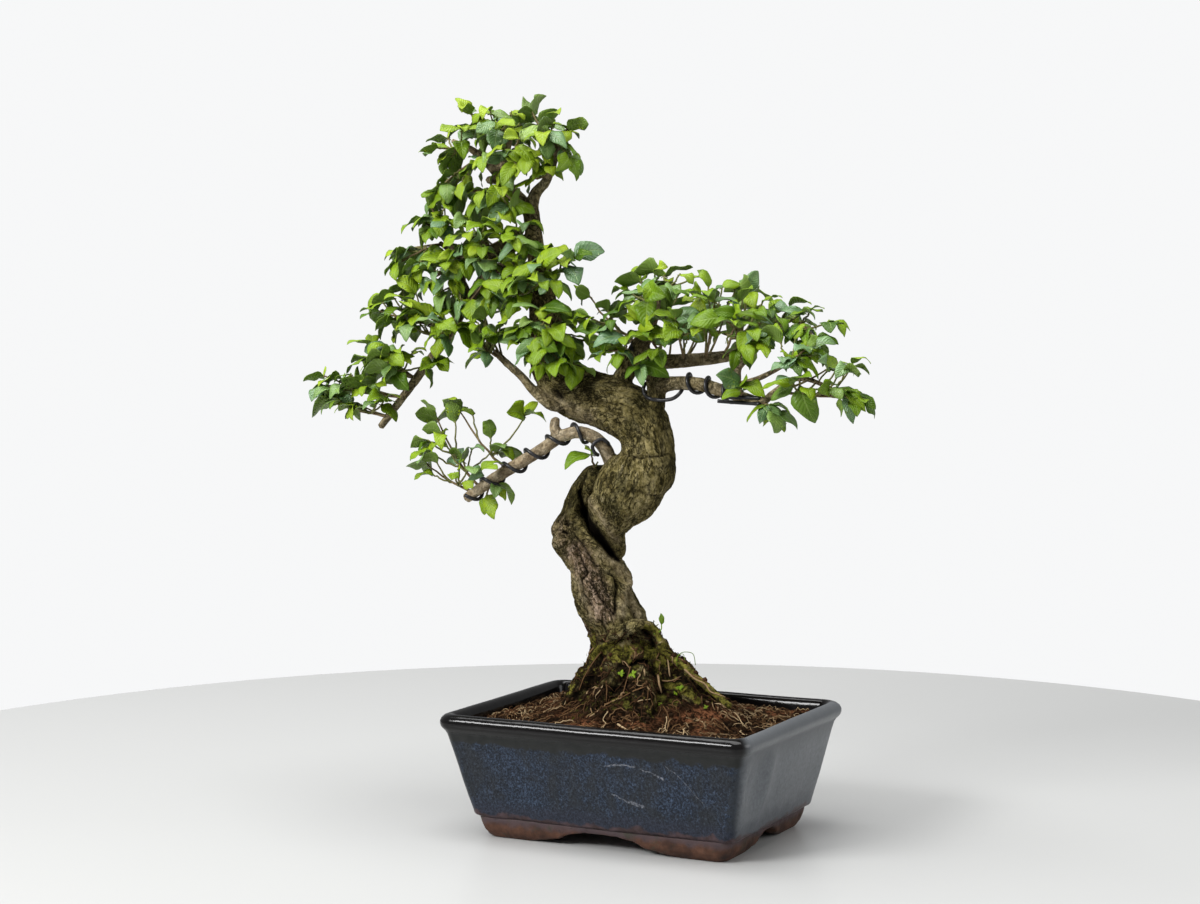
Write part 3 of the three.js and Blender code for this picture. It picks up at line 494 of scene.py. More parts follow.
class Look:
    """A material made of signals over the piece's own coordinates and values."""

    def __init__(self, name, **fixed):
        self.material = bpy.data.materials.new(name)
        self.material.use_nodes = True
        self.nodes = self.material.node_tree.nodes
        self.links = self.material.node_tree.links
        self.shader = self.nodes["Principled BSDF"]
        for key, value in fixed.items():
            self.shader.inputs[key.replace("_", " ")].default_value = value
        self.place = self.node("TexCoord", "Object")

    def put(self, socket, value):
        if isinstance(value, Signal):
            self.links.new(value.socket, socket)
        elif socket.type == "RGBA":
            socket.default_value = (*value, 1)
        else:
            socket.default_value = value

    def node(self, kind, output, inputs=None, **settings):
        """One output of a new node with these settings, its inputs fed by values or signals."""
        made = self.nodes.new("ShaderNode" + kind)
        for key, value in settings.items():
            setattr(made, key, value)
        for key, value in (inputs or {}).items():
            self.put(made.inputs[key], value)
        return Signal(self, made.outputs[output])

    def noise(self, size, detail=4, roughness=0.55, distortion=0.0, place=None):
        """Random shades between 0 and 1, with lumps of about size millimetres."""
        return self.node("TexNoise", "Fac", {"Vector": place or self.place, "Scale": 1000 / size,
                                             "Detail": detail, "Roughness": roughness,
                                             "Distortion": distortion})

    def stretched(self, x, y, z):
        return self.node("Mapping", "Vector", {"Vector": self.place, "Scale": (x, y, z)})

    def value(self, name):
        """A value that the piece's points carry."""
        return self.node("Attribute", "Fac", attribute_name=name)

    def joined(self, *names):
        """A place made of three of the piece's own values."""
        return self.node("CombineXYZ", 0, {axis: self.value(name) for axis, name in enumerate(names)})

    def axis(self, name, place=None):
        return self.node("SeparateXYZ", name, {0: place or self.place})

    def math(self, operation, *values):
        return self.node("Math", 0, dict(enumerate(values)), operation=operation)

    def step(self, value, low, high):
        """0 where value is low, 1 where it is high and smooth between."""
        return self.node("MapRange", "Result", {"Value": value, "From Min": low, "From Max": high},
                         interpolation_type="SMOOTHSTEP")

    def ramp(self, value, *stops):
        ramp = self.node("ValToRGB", "Color", {"Fac": value})
        elements = ramp.socket.node.color_ramp.elements
        while len(elements) < len(stops):
            elements.new(0.5)
        for element, (place, colour) in zip(elements, stops):
            element.position = place
            element.color = (*colour, 1)
        return ramp

    def scratch(self, start, end, width):
        """A thin mark on the pot's front, between two places given by x and z."""
        run, rise = end[0] - start[0], end[1] - start[1]
        laid_out = self.node("Mapping", "Vector", {
            "Vector": self.place, "Location": ((start[0] + SHIFT[0]) / 1000, 0, start[1] / 1000),
            "Rotation": (0, -math.atan2(rise, run), 0)}, vector_type="TEXTURE")
        length = math.hypot(run, rise) / 1000
        off = abs(self.axis("Z", laid_out) + (self.noise(7, 2) * 0.004 - 0.002))
        along = self.axis("X", laid_out)
        ends = self.step(along, 0, 0.003) * self.step(along, length, length - 0.003)
        front = self.step(self.axis("Y"), -0.066, -0.07)
        return self.step(off, width / 1000, width / 4000) * (ends * front)

    def mix(self, share, one, other):
        return self.node("Mix", 2, {0: share, 6: one, 7: other}, data_type="RGBA")

    def bump(self, height, depth, strength=1.0, under=None):
        inputs = {"Strength": strength, "Distance": depth / 1000, "Height": height}
        if under:
            inputs["Normal"] = under
        return self.node("Bump", "Normal", inputs)

    def done(self, colour, roughness=None, normal=None, specular=None):
        chosen = {"Base Color": colour, "Roughness": roughness, "Normal": normal,
                  "Specular IOR Level": specular}
        for name, value in chosen.items():
            if value is not None:
                self.put(self.shader.inputs[name], value)
        return self.material


# Pale scratches on the pot's front: both ends as x and z in millimetres, width and strength
SCRATCHES = [
    ((9, 69.5), (24, 72), 0.8, 0.9), ((22, 72), (38, 71.2), 0.9, 0.9), ((40, 70.5), (52, 67), 0.7, 0.8),
    ((50, 67.5), (61, 62), 0.9, 1.0), ((13, 48), (27, 42.5), 1.0, 0.7), ((25, 43), (42, 39.5), 1.8, 0.8),
    ((62, 75), (76, 65), 0.5, 0.8), ((74, 66), (92, 46), 0.45, 0.6),
]


def bark_look():
    look = Look("bark", Roughness=0.9, Specular_IOR_Level=0.04)
    young, wood, moss, deep, earth = map(look.value, ("young", "wood", "moss", "deep", "earth"))
    grain = look.joined("grain_x", "grain_y", "grain_z")
    flow = look.noise(6, 8, 0.74, place=grain)
    old = look.ramp(flow, (0.36, (0.04, 0.031, 0.008)), (0.47, (0.185, 0.15, 0.056)),
                    (0.58, (0.38, 0.315, 0.145)), (0.7, (0.62, 0.52, 0.29)))
    film = look.step(look.noise(6, 7, 0.76, place=grain) + (look.noise(34, 3) * 0.7 - 0.35), 0.47, 0.6)
    high = look.step(look.axis("Z"), 0.2, 0.25)
    old = look.mix(film * (high * 0.32 + 0.4), old, (0.018, 0.019, 0.004))
    pale = look.step(look.noise(11, 6, 0.75, place=grain), 0.57, 0.7)
    old = look.mix(pale * 0.62, old, (0.56, 0.48, 0.3))
    lines = abs(look.noise(4.6, 5, 0.6, 0.6, grain) - 0.5)
    cracks = look.step(lines, 0.05, 0.012) * look.step(look.noise(10, 4, 0.7, place=grain), 0.4, 0.52)
    net = abs(look.noise(6.5, 3, 0.55, 0.9, grain) - 0.5)
    meshes = look.step(net, 0.045, 0.01) * look.step(look.noise(17, 3), 0.42, 0.56)
    cracked = look.math("MAXIMUM", cracks, meshes)
    slender = look.ramp(look.noise(7, 6, 0.65), (0.3, (0.2, 0.14, 0.08)), (0.48, (0.42, 0.33, 0.21)),
                        (0.66, (0.6, 0.5, 0.35)))
    colour = look.mix(young, old, slender)
    fibrous = look.noise(5, 6, 0.7, 0.8, look.stretched(1.6, 1.6, 0.45))
    dead = look.ramp(fibrous, (0.36, (0.02, 0.012, 0.006)), (0.46, (0.16, 0.108, 0.066)),
                     (0.62, (0.47, 0.35, 0.26)))
    colour = look.mix(wood, colour, dead)
    wrinkled = look.noise(1.9, 5, 0.7, 0.5, look.stretched(1.5, 1.5, 0.55))
    smooth = young * -0.65 + 1.0
    wrinkles = look.step(wrinkled, 0.48, 0.36) * smooth
    colour = look.mix(wrinkles * 0.5, colour, (0.02, 0.017, 0.005))
    colour = look.mix(cracked * (smooth * 0.92), colour, (0.009, 0.007, 0.002))
    colour = look.mix(look.step(wrinkled, 0.56, 0.7) * 0.35, colour, (0.42, 0.36, 0.19))
    clear = look.step(look.noise(3.2, 8, 0.68), 0.38, 0.6)
    colour = look.mix((clear * -0.6 + 0.6) * smooth, colour, (0.016, 0.014, 0.004))
    soiled = look.ramp(look.noise(3.4, 8, 0.76, 0.5), (0.4, (0.0012, 0.0009, 0.0004)),
                       (0.52, (0.006, 0.0036, 0.0014)), (0.63, (0.036, 0.022, 0.009)),
                       (0.76, (0.16, 0.112, 0.054)))
    colour = look.mix(earth, colour, soiled)
    furry = look.step(look.noise(8, 5, 0.7) + moss * 0.42, 0.7, 0.84)
    green = look.ramp(look.noise(4, 5, 0.7), (0.38, (0.014, 0.013, 0.003)), (0.62, (0.2, 0.18, 0.035)))
    colour = look.mix(furry, colour, green)
    # Painted shade: near black where the points carry it, in pits, clefts and furrows and under the leaves
    colour = look.mix(deep, colour, (0.003, 0.002, 0.001))
    relief = look.bump(look.noise(2.2, 7, 0.7), 1.1, 0.75)
    relief = look.bump(flow, 1.6, 0.7, relief)
    relief = look.bump(cracked * -1, 0.8, 0.8, relief)
    return look.done(colour, None, relief)


def leaf_look():
    look = Look("leaf", Roughness=0.42)
    tone, along, across, under, wax = map(look.value, ("tone", "along", "across", "under", "wax"))
    green = look.ramp(tone, (0.0, (0.02, 0.056, 0.001)), (0.25, (0.082, 0.168, 0.004)),
                      (0.5, (0.17, 0.275, 0.006)), (0.8, (0.22, 0.335, 0.008)), (1.0, (0.3, 0.41, 0.018)))
    # Painted sheen: waxy leaves are mixed towards a pale blue-green that stands in for a reflection of the
    # bright surroundings; the same value also raises the specular
    green = look.mix(wax, green, (0.13, 0.25, 0.125))
    aside = abs(across)
    rib = look.step(aside, 0.11, 0.02)
    slanted = (along - aside * 0.3) * 8.5
    saw = abs(look.math("FRACT", slanted) - 0.5)
    side_veins = look.step(saw, 0.09, 0.0) * look.step(aside, 1.0, 0.75)
    veins = look.math("MAXIMUM", rib, side_veins * 0.45)
    patchy = look.step(look.noise(8, 4, 0.6), 0.36, 0.66)
    green = look.mix(patchy * 0.35, green, (0.035, 0.1, 0.003))
    green = look.mix(veins * 0.34, green, (0.32, 0.44, 0.12))
    back = look.mix(veins * 0.4, (0.14, 0.225, 0.035), (0.24, 0.32, 0.09))
    colour = look.mix(under, green, back)
    stalk = look.step(along, 0.03, -0.02)
    colour = look.mix(stalk, colour, (0.16, 0.15, 0.04))
    relief = look.bump(look.step(saw, 0.0, 0.45) - rib * 0.8, 0.35, 0.55)
    relief = look.bump(look.noise(1.4, 4), 0.12, 0.5, relief)
    return look.done(colour, look.noise(3, 3) * 0.16 + 0.32, relief, wax * 0.5 + 0.24)


def twig_look():
    look = Look("twig", Roughness=0.75, Specular_IOR_Level=0.2)
    colour = look.ramp(look.noise(3.5, 5, 0.65), (0.3, (0.05, 0.033, 0.015)), (0.5, (0.15, 0.105, 0.05)),
                       (0.7, (0.28, 0.22, 0.12)))
    colour = look.mix(look.value("fresh"), colour, (0.16, 0.2, 0.05))
    return look.done(colour, None, look.bump(look.noise(0.9, 5), 0.3, 0.6))


def wire_look():
    look = Look("wire", Metallic=0.35, Roughness=0.36)
    colour = look.ramp(look.noise(6, 4), (0.35, (0.012, 0.012, 0.013)), (0.7, (0.032, 0.031, 0.032)))
    return look.done(colour, look.noise(2, 4) * 0.25 + 0.26, look.bump(look.noise(0.7, 3), 0.05, 0.5))


# The pot's outer faces lean: the distance from its middle at the table, and how much it grows with height
WALL_FOOT, WALL_SLOPE = 110.9, 0.2235
SIDE_FOOT, SIDE_SLOPE = 73.5, 0.245


def glaze_look():
    look = Look("glaze", Roughness=0.2)
    height = look.axis("Z") * 1000
    across = look.axis("X") * 1000 - (SHIFT[0] + POT_X)
    depth = abs(look.axis("Y") * 1000 - SHIFT[1])
    out = across - (height * WALL_SLOPE + WALL_FOOT)
    turned = (height * SIDE_SLOPE + SIDE_FOOT - depth) + out
    right = look.step(turned, -3, 7)
    rim = look.step(height, 85, 88)
    specular = rim * 0.1 + (right * 0.12 + 0.13)
    ragged = height + (look.noise(16, 5, 0.6) * -22 + 11)
    specks = look.noise(1.5, 5, 0.75, 0.6, look.stretched(1, 1, 0.8))
    streaks = look.noise(11, 4, 0.6, place=look.stretched(1, 1, 0.28))
    blue = look.ramp(specks, (0.36, (0.005, 0.006, 0.009)), (0.5, (0.014, 0.02, 0.032)),
                     (0.66, (0.062, 0.09, 0.148)))
    dull = look.ramp(specks, (0.35, (0.007, 0.008, 0.01)), (0.6, (0.025, 0.029, 0.035)),
                     (0.75, (0.056, 0.072, 0.098)))
    bare = look.step(look.noise(58, 4, 0.65), 0.45, 0.57)
    body = look.mix(bare * look.step(streaks, 0.3, 0.6) * 0.9, blue, dull)
    corner = look.step(out + (look.noise(9, 5, 0.75) * 44 - 22), -9, -5)
    body = look.mix(corner * 0.8, body, (0.026, 0.03, 0.036))
    # The right end's own greyer glaze, painted lighter to stand in for the reflection it catches at a grazing
    # angle; the band under its rim is lighter there too
    grey_and_painted_reflection = look.ramp(look.noise(3, 5, 0.7), (0.3, (0.07, 0.077, 0.086)), (0.7, (0.135, 0.147, 0.16)))
    body = look.mix(right, body, grey_and_painted_reflection)
    low = look.ramp(specks, (0.35, (0.008, 0.009, 0.013)), (0.7, (0.038, 0.046, 0.07)))
    body = look.mix(look.step(ragged, 36, 24) * (right * -0.6 + 1.0), body, low)
    seam = look.ramp(look.noise(5, 4), (0.3, (0.03, 0.018, 0.016)), (0.7, (0.075, 0.05, 0.055)))
    body = look.mix(look.step(ragged, 21.5, 18.5), body, seam)
    band = look.mix(look.noise(8, 4), (0.008, 0.009, 0.009), (0.027, 0.028, 0.027))
    band = look.mix(right, band, (0.062, 0.067, 0.074))
    body = look.mix(look.mix(right, look.step(ragged, 76.5, 79.5), look.step(height, 66, 92)), body, band)
    black = look.mix(look.noise(20, 3), (0.002, 0.002, 0.002), (0.006, 0.005, 0.005))
    end_side = look.step(across, 123, 127) * look.step(turned, -2, 14)
    body = look.mix(look.step(height, 85.5, 88.5) * (end_side * -0.95 + 1.0), body, black)
    # Painted reflection: the rim and top of the right end are painted a light grey that stands in for the
    # bright surroundings they reflect at a grazing angle, and made rougher
    painted_rim_reflection = end_side * look.step(height, 76, 92)
    body = look.mix(painted_rim_reflection * 0.9, body, (0.11, 0.118, 0.126))
    worn = look.step(look.noise(1.8, 5, 0.7), 0.4, 0.6)
    for start, end, width, strength in SCRATCHES:
        body = look.mix(look.scratch(start, end, width) * (worn * strength), body, (0.2, 0.21, 0.24))
    matt = painted_rim_reflection * 0.22 + (look.step(height, 84, 90) * -0.19 + 0.26) + specks * 0.1
    relief = look.bump(look.noise(2.6, 4, 0.6), 0.16, 0.45)
    relief = look.bump(look.noise(24, 3), 1.4, 0.35, relief)
    return look.done(body, matt, relief, specular)


def terracotta_look():
    look = Look("terracotta", Roughness=0.62, Specular_IOR_Level=0.3)
    clay = look.ramp(look.noise(13, 6, 0.65), (0.3, (0.024, 0.01, 0.006)), (0.5, (0.062, 0.025, 0.013)),
                     (0.7, (0.112, 0.05, 0.029)))
    height = look.axis("Z") * 1000
    upper = look.step(height + (look.noise(12, 5) * 16 - 8), 9, 15)
    clay = look.mix(upper * 0.75, clay, (0.062, 0.045, 0.052))
    stain = look.step(look.noise(17, 5, 0.7, 0.5), 0.54, 0.66)
    clay = look.mix(stain * 0.7, clay, (0.034, 0.034, 0.02))
    dark = look.step(look.noise(6, 6, 0.7), 0.57, 0.7)
    clay = look.mix(dark * 0.6, clay, (0.012, 0.009, 0.008))
    return look.done(clay, None, look.bump(look.noise(1.6, 6, 0.7), 0.35, 0.6))


def soil_look():
    look = Look("soil", Roughness=0.95, Specular_IOR_Level=0.03)
    earth = look.ramp(look.noise(4, 8, 0.75), (0.38, (0.0015, 0.001, 0.0005)), (0.52, (0.009, 0.0045, 0.002)),
                      (0.65, (0.045, 0.021, 0.01)), (0.78, (0.15, 0.085, 0.048)))
    ruddy = look.value("tone") * look.step(look.noise(3, 6, 0.7), 0.4, 0.65)
    earth = look.mix(ruddy, earth, (0.23, 0.095, 0.045))
    furry = look.step(look.noise(9, 6, 0.7) + look.value("moss") * 0.3, 0.74, 0.9)
    green = look.ramp(look.noise(3, 6, 0.7), (0.35, (0.012, 0.013, 0.004)), (0.65, (0.11, 0.105, 0.02)))
    return look.done(look.mix(furry, earth, green), None, look.bump(look.noise(1.8, 8, 0.75), 1.6, 0.9))


def fibre_look():
    look = Look("fibre", Roughness=0.85, Specular_IOR_Level=0.05)
    colour = look.ramp(look.value("tone"), (0.0, (0.006, 0.003, 0.0015)), (0.4, (0.036, 0.015, 0.0065)),
                       (0.75, (0.19, 0.105, 0.048)), (1.0, (0.5, 0.37, 0.21)))
    worn = look.mix(look.noise(4, 4) * 0.5, colour, (0.05, 0.03, 0.015))
    return look.done(worn, None, look.bump(look.noise(0.8, 3), 0.2, 0.5))


def moss_look():
    look = Look("moss", Roughness=0.9, Specular_IOR_Level=0.04)
    colour = look.ramp(look.value("tone"), (0.0, (0.01, 0.012, 0.002)), (0.4, (0.045, 0.048, 0.006)),
                       (0.75, (0.16, 0.15, 0.018)), (1.0, (0.32, 0.36, 0.04)))
    return look.done(look.mix(look.noise(5, 4) * 0.6, colour, (0.03, 0.028, 0.008)))


def plastic_look():
    look = Look("mesh_plastic", Roughness=0.5)
    colour = look.mix(look.noise(5, 4), (0.008, 0.009, 0.008), (0.02, 0.021, 0.019))
    return look.done(colour, None, look.bump(look.noise(1.5, 4), 0.1, 0.4))


BARK, LEAF, TWIG, WIRE = bark_look(), leaf_look(), twig_look(), wire_look()
GLAZE, TERRACOTTA = glaze_look(), terracotta_look()
SOIL, FIBRE, MOSS, PLASTIC = soil_look(), fibre_look(), moss_look(), plastic_look()


# Camera, light and stage

camera_data = bpy.data.cameras.new("camera")
camera_data.sensor_fit = "HORIZONTAL"
camera_data.sensor_width = 36
camera_data.lens = 36 * FOCAL_PIXELS / IMAGE[0]
camera_data.clip_end = 50
camera = bpy.data.objects.new("camera", camera_data)
bpy.context.collection.objects.link(camera)
camera.matrix_world = Matrix.Translation(world(EYE)) @ Matrix([RIGHT, ABOVE, -FORWARD]).transposed().to_4x4()
bpy.context.scene.camera = camera

bpy.context.scene.view_settings.view_transform = "Standard"

# White behind the object, and a dimmer room for it to reflect
sky = bpy.data.worlds.new("studio")
sky.use_nodes = True
sky_nodes, sky_links = sky.node_tree.nodes, sky.node_tree.links
room = sky_nodes["Background"]
room.inputs["Color"].default_value = (0.97, 0.985, 1.0, 1)
room.inputs["Strength"].default_value = 0.34
backdrop = sky_nodes.new("ShaderNodeBackground")
backdrop.inputs["Color"].default_value = (0.93, 0.935, 0.94, 1)
chosen = sky_nodes.new("ShaderNodeMixShader")
sky_links.new(sky_nodes.new("ShaderNodeLightPath").outputs["Is Camera Ray"], chosen.inputs[0])
sky_links.new(room.outputs[0], chosen.inputs[1])
sky_links.new(backdrop.outputs[0], chosen.inputs[2])
sky_links.new(chosen.outputs[0], sky_nodes["World Output"].inputs["Surface"])
bpy.context.scene.world = sky


def softbox(name, place, aim, size, power):
    data = bpy.data.lights.new(name, "AREA")
    data.shape = "RECTANGLE"
    data.size, data.size_y = size
    data.energy = power
    light = bpy.data.objects.new(name, data)
    bpy.context.collection.objects.link(light)
    light.location = place
    light.rotation_euler = (Vector(aim) - Vector(place)).to_track_quat("-Z", "Y").to_euler()


softbox("overhead", (-0.3, -0.4, 3.6), (0, 0, 0.3), (3.2, 2.6), 162)
softbox("side", (2.6, 0.4, 1.2), (0, 0, 0.2), (1.6, 1.6), 22)
softbox("window", (-1.15, -2.2, 1.65), (0, 0, 0.2), (1.3, 0.6), 80)

# A round table top: its rim is the line between floor and backdrop from every side
FLOOR_RADIUS, FLOOR_CORNERS = 0.85, 180
floor_mesh = bpy.data.meshes.new("floor")
floor_mesh.from_pydata([(FLOOR_RADIUS * math.cos(angle), FLOOR_RADIUS * math.sin(angle), 0)
                        for angle in np.linspace(0, 2 * math.pi, FLOOR_CORNERS + 1)[:-1]], [],
                       [tuple(range(FLOOR_CORNERS))])
floor = bpy.data.objects.new("floor", floor_mesh)
bpy.context.collection.objects.link(floor)
floor_look = Look("floor", Roughness=0.3, Specular_IOR_Level=0.3)
floor_look.shader.inputs["Base Color"].default_value = (0.49, 0.492, 0.484, 1)
floor_mesh.materials.append(floor_look.material)


# Trunk, limbs and roots: thick parts grown into one skin, thin ends as tubes sunk into it

THIN = 3.1
tree = {name: Curve([[*seen(row[:3]), row[3]] for row in rows]) for name, rows in LIMBS.items()}
for number, (degrees, reach) in enumerate(ROOTS):
    heading = np.array([math.cos(math.radians(degrees)), math.sin(math.radians(degrees)), 0])
    tree[f"root_{number}"] = Curve([[*(ROOT_ORIGIN + out * reach * heading + UP * height), radius]
                                    for out, height, radius in ROOT_COURSE])

thick, thin = Soup(), Soup()
for name, curve in tree.items():
    line = curve.samples[::2]
    slight = np.nonzero(line[:, 3] < THIN)[0]
    split = slight[0] if len(slight) else len(line)
    if split > 1:
        thick.add(*tube(line[:split, :3], line[:split, 3], 26, 0.5))
    if split < len(line):
        rest = line[max(split - 3, 0):]
        jitter = 1 + 0.12 * bumps(rest[:, :3], 5, 3.0)
        thin.add(*tube(rest[:, :3], rest[:, 3] * jitter, 12, 0.6))

points, normals, faces = remeshed(thick, 1.46, 2)

samples = np.vstack([curve.samples for curve in tree.values()])
pale = np.array([name in ("low", "stub") for name, curve in tree.items() for _ in curve.samples])
sample_lengths = np.concatenate([curve.lengths for curve in tree.values()])


CHUNK = 4000


def nearest_limb(places):
    """For each place the sample of the limb whose skin is nearest to it, and how far off that skin it is."""
    centres, radii = samples[:, :3], samples[:, 3]
    chosen, off = [], []
    for start in range(0, len(places), CHUNK):
        some = places[start:start + CHUNK]
        squares = (some ** 2).sum(1)[:, None] + (centres ** 2).sum(1)[None] - 2 * some @ centres.T
        away = np.sqrt(np.maximum(squares, 0)) - radii[None]
        best = np.argmin(away, 1)
        chosen.append(best)
        off.append(away[np.arange(len(some)), best])
    return np.concatenate(chosen), np.concatenate(off)


nearest, off_skin = nearest_limb(points)
limb_radius = samples[nearest, 3]
limb_length = sample_lengths[nearest]
around = np.arctan2(points[:, 1] - samples[nearest, 1], points[:, 0] - samples[nearest, 0])

# Places along and across each limb, turning slowly round it, for what follows the grain of the wood
GRAIN_TURN, GRAIN_STRETCH = 85.0, 0.6


def limb_frame(curve):
    """Heading, normal and side at each sample of a limb."""
    places = curve.samples[:, :3]
    headings = tangents_of(places)
    return headings, *frames(places, headings)


limb_frames = zip(*[limb_frame(curve) for curve in tree.values()])
along_limb, normal_of, side_of = [np.vstack(part)[nearest] for part in limb_frames]
from_axis = points - samples[nearest, :3]
grain_length = limb_length + (from_axis * along_limb).sum(1)
turned = grain_length / GRAIN_TURN
grain_u, grain_v = (from_axis * normal_of).sum(1), (from_axis * side_of).sum(1)
grain = np.stack([GRAIN_STRETCH * grain_length, grain_u * np.cos(turned) - grain_v * np.sin(turned),
                  grain_u * np.sin(turned) + grain_v * np.cos(turned)], 1)

facing = -(normals @ FORWARD)
shown = pixels(points)
front = smooth_step(0.05, 0.35, facing)


def near(line, width):
    """How near each point shows to a line of pixels, from 1 on it to 0 away from it."""
    return np.exp(-((to_line(shown, line) / width) ** 2))


age = smooth_step(5.5, 15, limb_radius)
low = smooth_step(235, 190, points[:, 2])
foot = smooth_step(172, 145, points[:, 2])
relief = 0.45 * bumps(points, 5.0, 0, 4) * lerp(0.5, 1.0, age)
fissured = bumps(grain, 3.4, 2.0, 3)
relief += age * (0.45 * np.minimum(np.abs(fissured) * 3.5, 1) - 0.3) * lerp(0.75, 1.6, low)
gritty = bumps(points, 9.0, 14.0, 3)
relief += foot * (2.6 * gritty - 0.6 + 1.8 * bumps(points, 20, 21.0, 2))
relief += 1.3 * age * bumps(points, 19.0, 7.0, 2)
twisted = np.sin(9 * around + limb_length / 13 + 2.2 * bumps(points, 30, 4.0, 2))
relief += low * age * 1.25 * twisted * smooth_step(-0.9, 0.6, bumps(points, 24, 9.0, 2))
relief += (1 - low) * age * 0.45 * np.sin(5 * around + limb_length / 22 + 1.5 * bumps(points, 30, 5.0, 2))

# Clefts are pushed straight back, furrows and ridges along the normal: pixels, width and depth or height
CLEFTS = [
    ([(579.5, 492), (582, 502), (585, 511)], 2.4, 5.0),
    ([(584, 510), (589, 521), (598, 535), (606, 546), (611.5, 555)], 5.2, 10.0),
    ([(611, 553), (617, 561)], 3.2, 6.0),
    ([(643, 630.5), (649, 636), (654, 644)], 3.0, 7.0),
    ([(631.5, 666), (638, 662.5), (646.5, 662.5)], 2.8, 6.0),
    ([(566.5, 523.5), (568, 525)], 2.0, 4.0),
    ([(563.5, 532), (566.5, 533)], 1.8, 3.5),
    ([(600, 656), (604, 658), (607, 662)], 3.0, 3.5),
]
FURROWS = [
    ([(585, 471), (582, 482), (580, 492)], 1.9, 2.2),
    ([(574, 535), (580.5, 541), (588, 553), (594, 562)], 1.9, 3.2),
    ([(574.4, 542), (582, 562), (586.6, 572)], 1.5, 2.8),
    ([(586.6, 573), (580.5, 581), (583.6, 594), (591, 605)], 1.5, 2.6),
    ([(591, 580.5), (597, 594), (606.5, 606.5), (613.5, 614)], 1.6, 3.0),
    ([(608, 573), (615.5, 576), (616.5, 584), (615.5, 599), (615.5, 614)], 1.7, 3.0),
    ([(601, 578), (606, 588), (609, 598)], 1.2, 1.8),
    ([(596, 566), (602, 572), (607, 580)], 1.3, 2.0),
    ([(576, 585), (581, 600), (588, 614)], 1.2, 1.6),
    ([(629, 592), (632, 606), (638, 618)], 1.4, 1.8),
    ([(604, 473.5), (606.5, 485.5), (613.5, 493.5)], 1.3, 2.2),
    ([(622.5, 454.5), (640, 458), (657, 456.5), (671, 453)], 1.3, 2.0),
    ([(632.5, 489), (646, 495), (657, 496.5)], 1.4, 1.6),
    ([(596, 398), (604, 404), (613, 413), (619, 424)], 2.2, 1.6),
    ([(566, 388), (572, 395), (580, 400)], 2.0, 1.3),
    ([(555, 392), (560, 398)], 4.2, 2.8),
    ([(622, 620), (626, 630), (622, 638)], 1.8, 2.4),
    ([(600, 622), (606, 632), (603, 642)], 2.0, 2.4),
    ([(590, 632), (594, 642)], 1.8, 2.4),
]
RIDGES = [
    ([(582, 522.5), (588, 534.5), (596, 547), (603.5, 557.5), (615.5, 565.5), (625, 574.5), (629, 583.5)],
     4.4, 3.4),
    ([(629, 583.5), (625, 593), (621, 604), (620, 615)], 4.2, 2.2),
    ([(588, 482), (589, 493), (594, 504), (603, 518), (612.5, 532), (620, 545)], 3.6, 2.8),
    ([(576, 495), (573, 508), (571, 520)], 3.6, 1.6),
    ([(594, 391), (608, 393), (622, 395.6), (631, 400), (638, 406)], 3.4, 1.6),
    ([(559, 521), (564, 517), (570, 519), (572, 526), (569, 530)], 2.4, 2.2),
    ([(553, 528), (552, 536), (554, 543), (560, 546), (565, 541)], 3.0, 2.2),
    ([(559.5, 536), (561, 539)], 2.4, 1.8),
    ([(578, 590), (584, 606), (590, 620)], 2.6, 1.6),
    ([(601, 601), (598, 612), (596, 624)], 3.0, 1.5),
    ([(592, 565), (597, 577), (602, 588)], 2.4, 1.5),
    ([(610, 580), (611, 592)], 2.6, 1.6),
    ([(640, 482), (655, 490), (668, 480)], 5.0, 1.2),
]
ROOT_RIDGES = [
    ([(624, 643), (626.5, 634), (634, 628), (642, 625), (650, 625.5), (657, 633), (662, 644.5)], 3.0, 3.4),
    ([(662, 644.5), (667, 655), (677.5, 661), (690, 671.5), (705.5, 684), (713, 694)], 3.2, 2.6),
    ([(622.5, 634.5), (611, 642), (601, 647), (589.5, 655), (583, 665), (576.5, 676.5), (570, 687)],
     2.6, 2.8),
    ([(626, 642), (634, 650), (642, 653), (652, 652), (660, 656)], 3.6, 2.4),
    ([(612, 650), (608, 658), (610, 668), (616, 673)], 3.0, 2.0),
    ([(626, 646), (634, 652), (636, 660)], 1.8, 1.6),
]
# Where the whole surface swells or shrinks: pixels, reach and height
SWELLS = [
    ([(574, 478), (565, 492), (558, 510)], 13, -4.6), ([(668, 498), (655, 511), (640, 522)], 9, -3.4),
    ([(632, 529), (627, 541)], 7, -1.6), ([(560, 410), (577, 414), (596, 420), (611, 434)], 9, 3.8),
    ([(636, 585), (642, 602)], 9, -2.6), ([(653, 620), (664, 640)], 8, -2.0),
    ([(587, 630), (588, 651)], 7, -2.8), ([(581, 670), (572, 684)], 8, 7.0),
    ([(674, 430), (677, 448)], 8, -0.9), ([(712, 684), (720, 688)], 8, 3.0),
    ([(556, 524), (554, 540)], 8, 1.5),
]
for line, width, depth in FURROWS:
    relief -= depth * near(line, width) * front
for line, width, height in RIDGES + ROOT_RIDGES:
    relief += height * near(line, width) * front
for line, width, height in SWELLS:
    relief += height * age * near(line, width)

open_front = smooth_step(-0.35, 0.1, facing)
sunk = np.zeros(len(points))
# Painted shade: near black in the pits of the foot, inside the clefts and furrows, and under the leaves
deep = foot * smooth_step(-0.2, -0.5, gritty) * 0.85
for line, width, depth in CLEFTS:
    sunk = np.maximum(sunk, depth * near(line, width) ** 1.5 * open_front)
    deep = np.maximum(deep, np.minimum(1.5 * near(line, width * 0.9), 1) * open_front)
for line, width, depth in FURROWS:
    deep = np.maximum(deep, min(depth / 2.6, 1) * near(line, width * 0.8) * front)
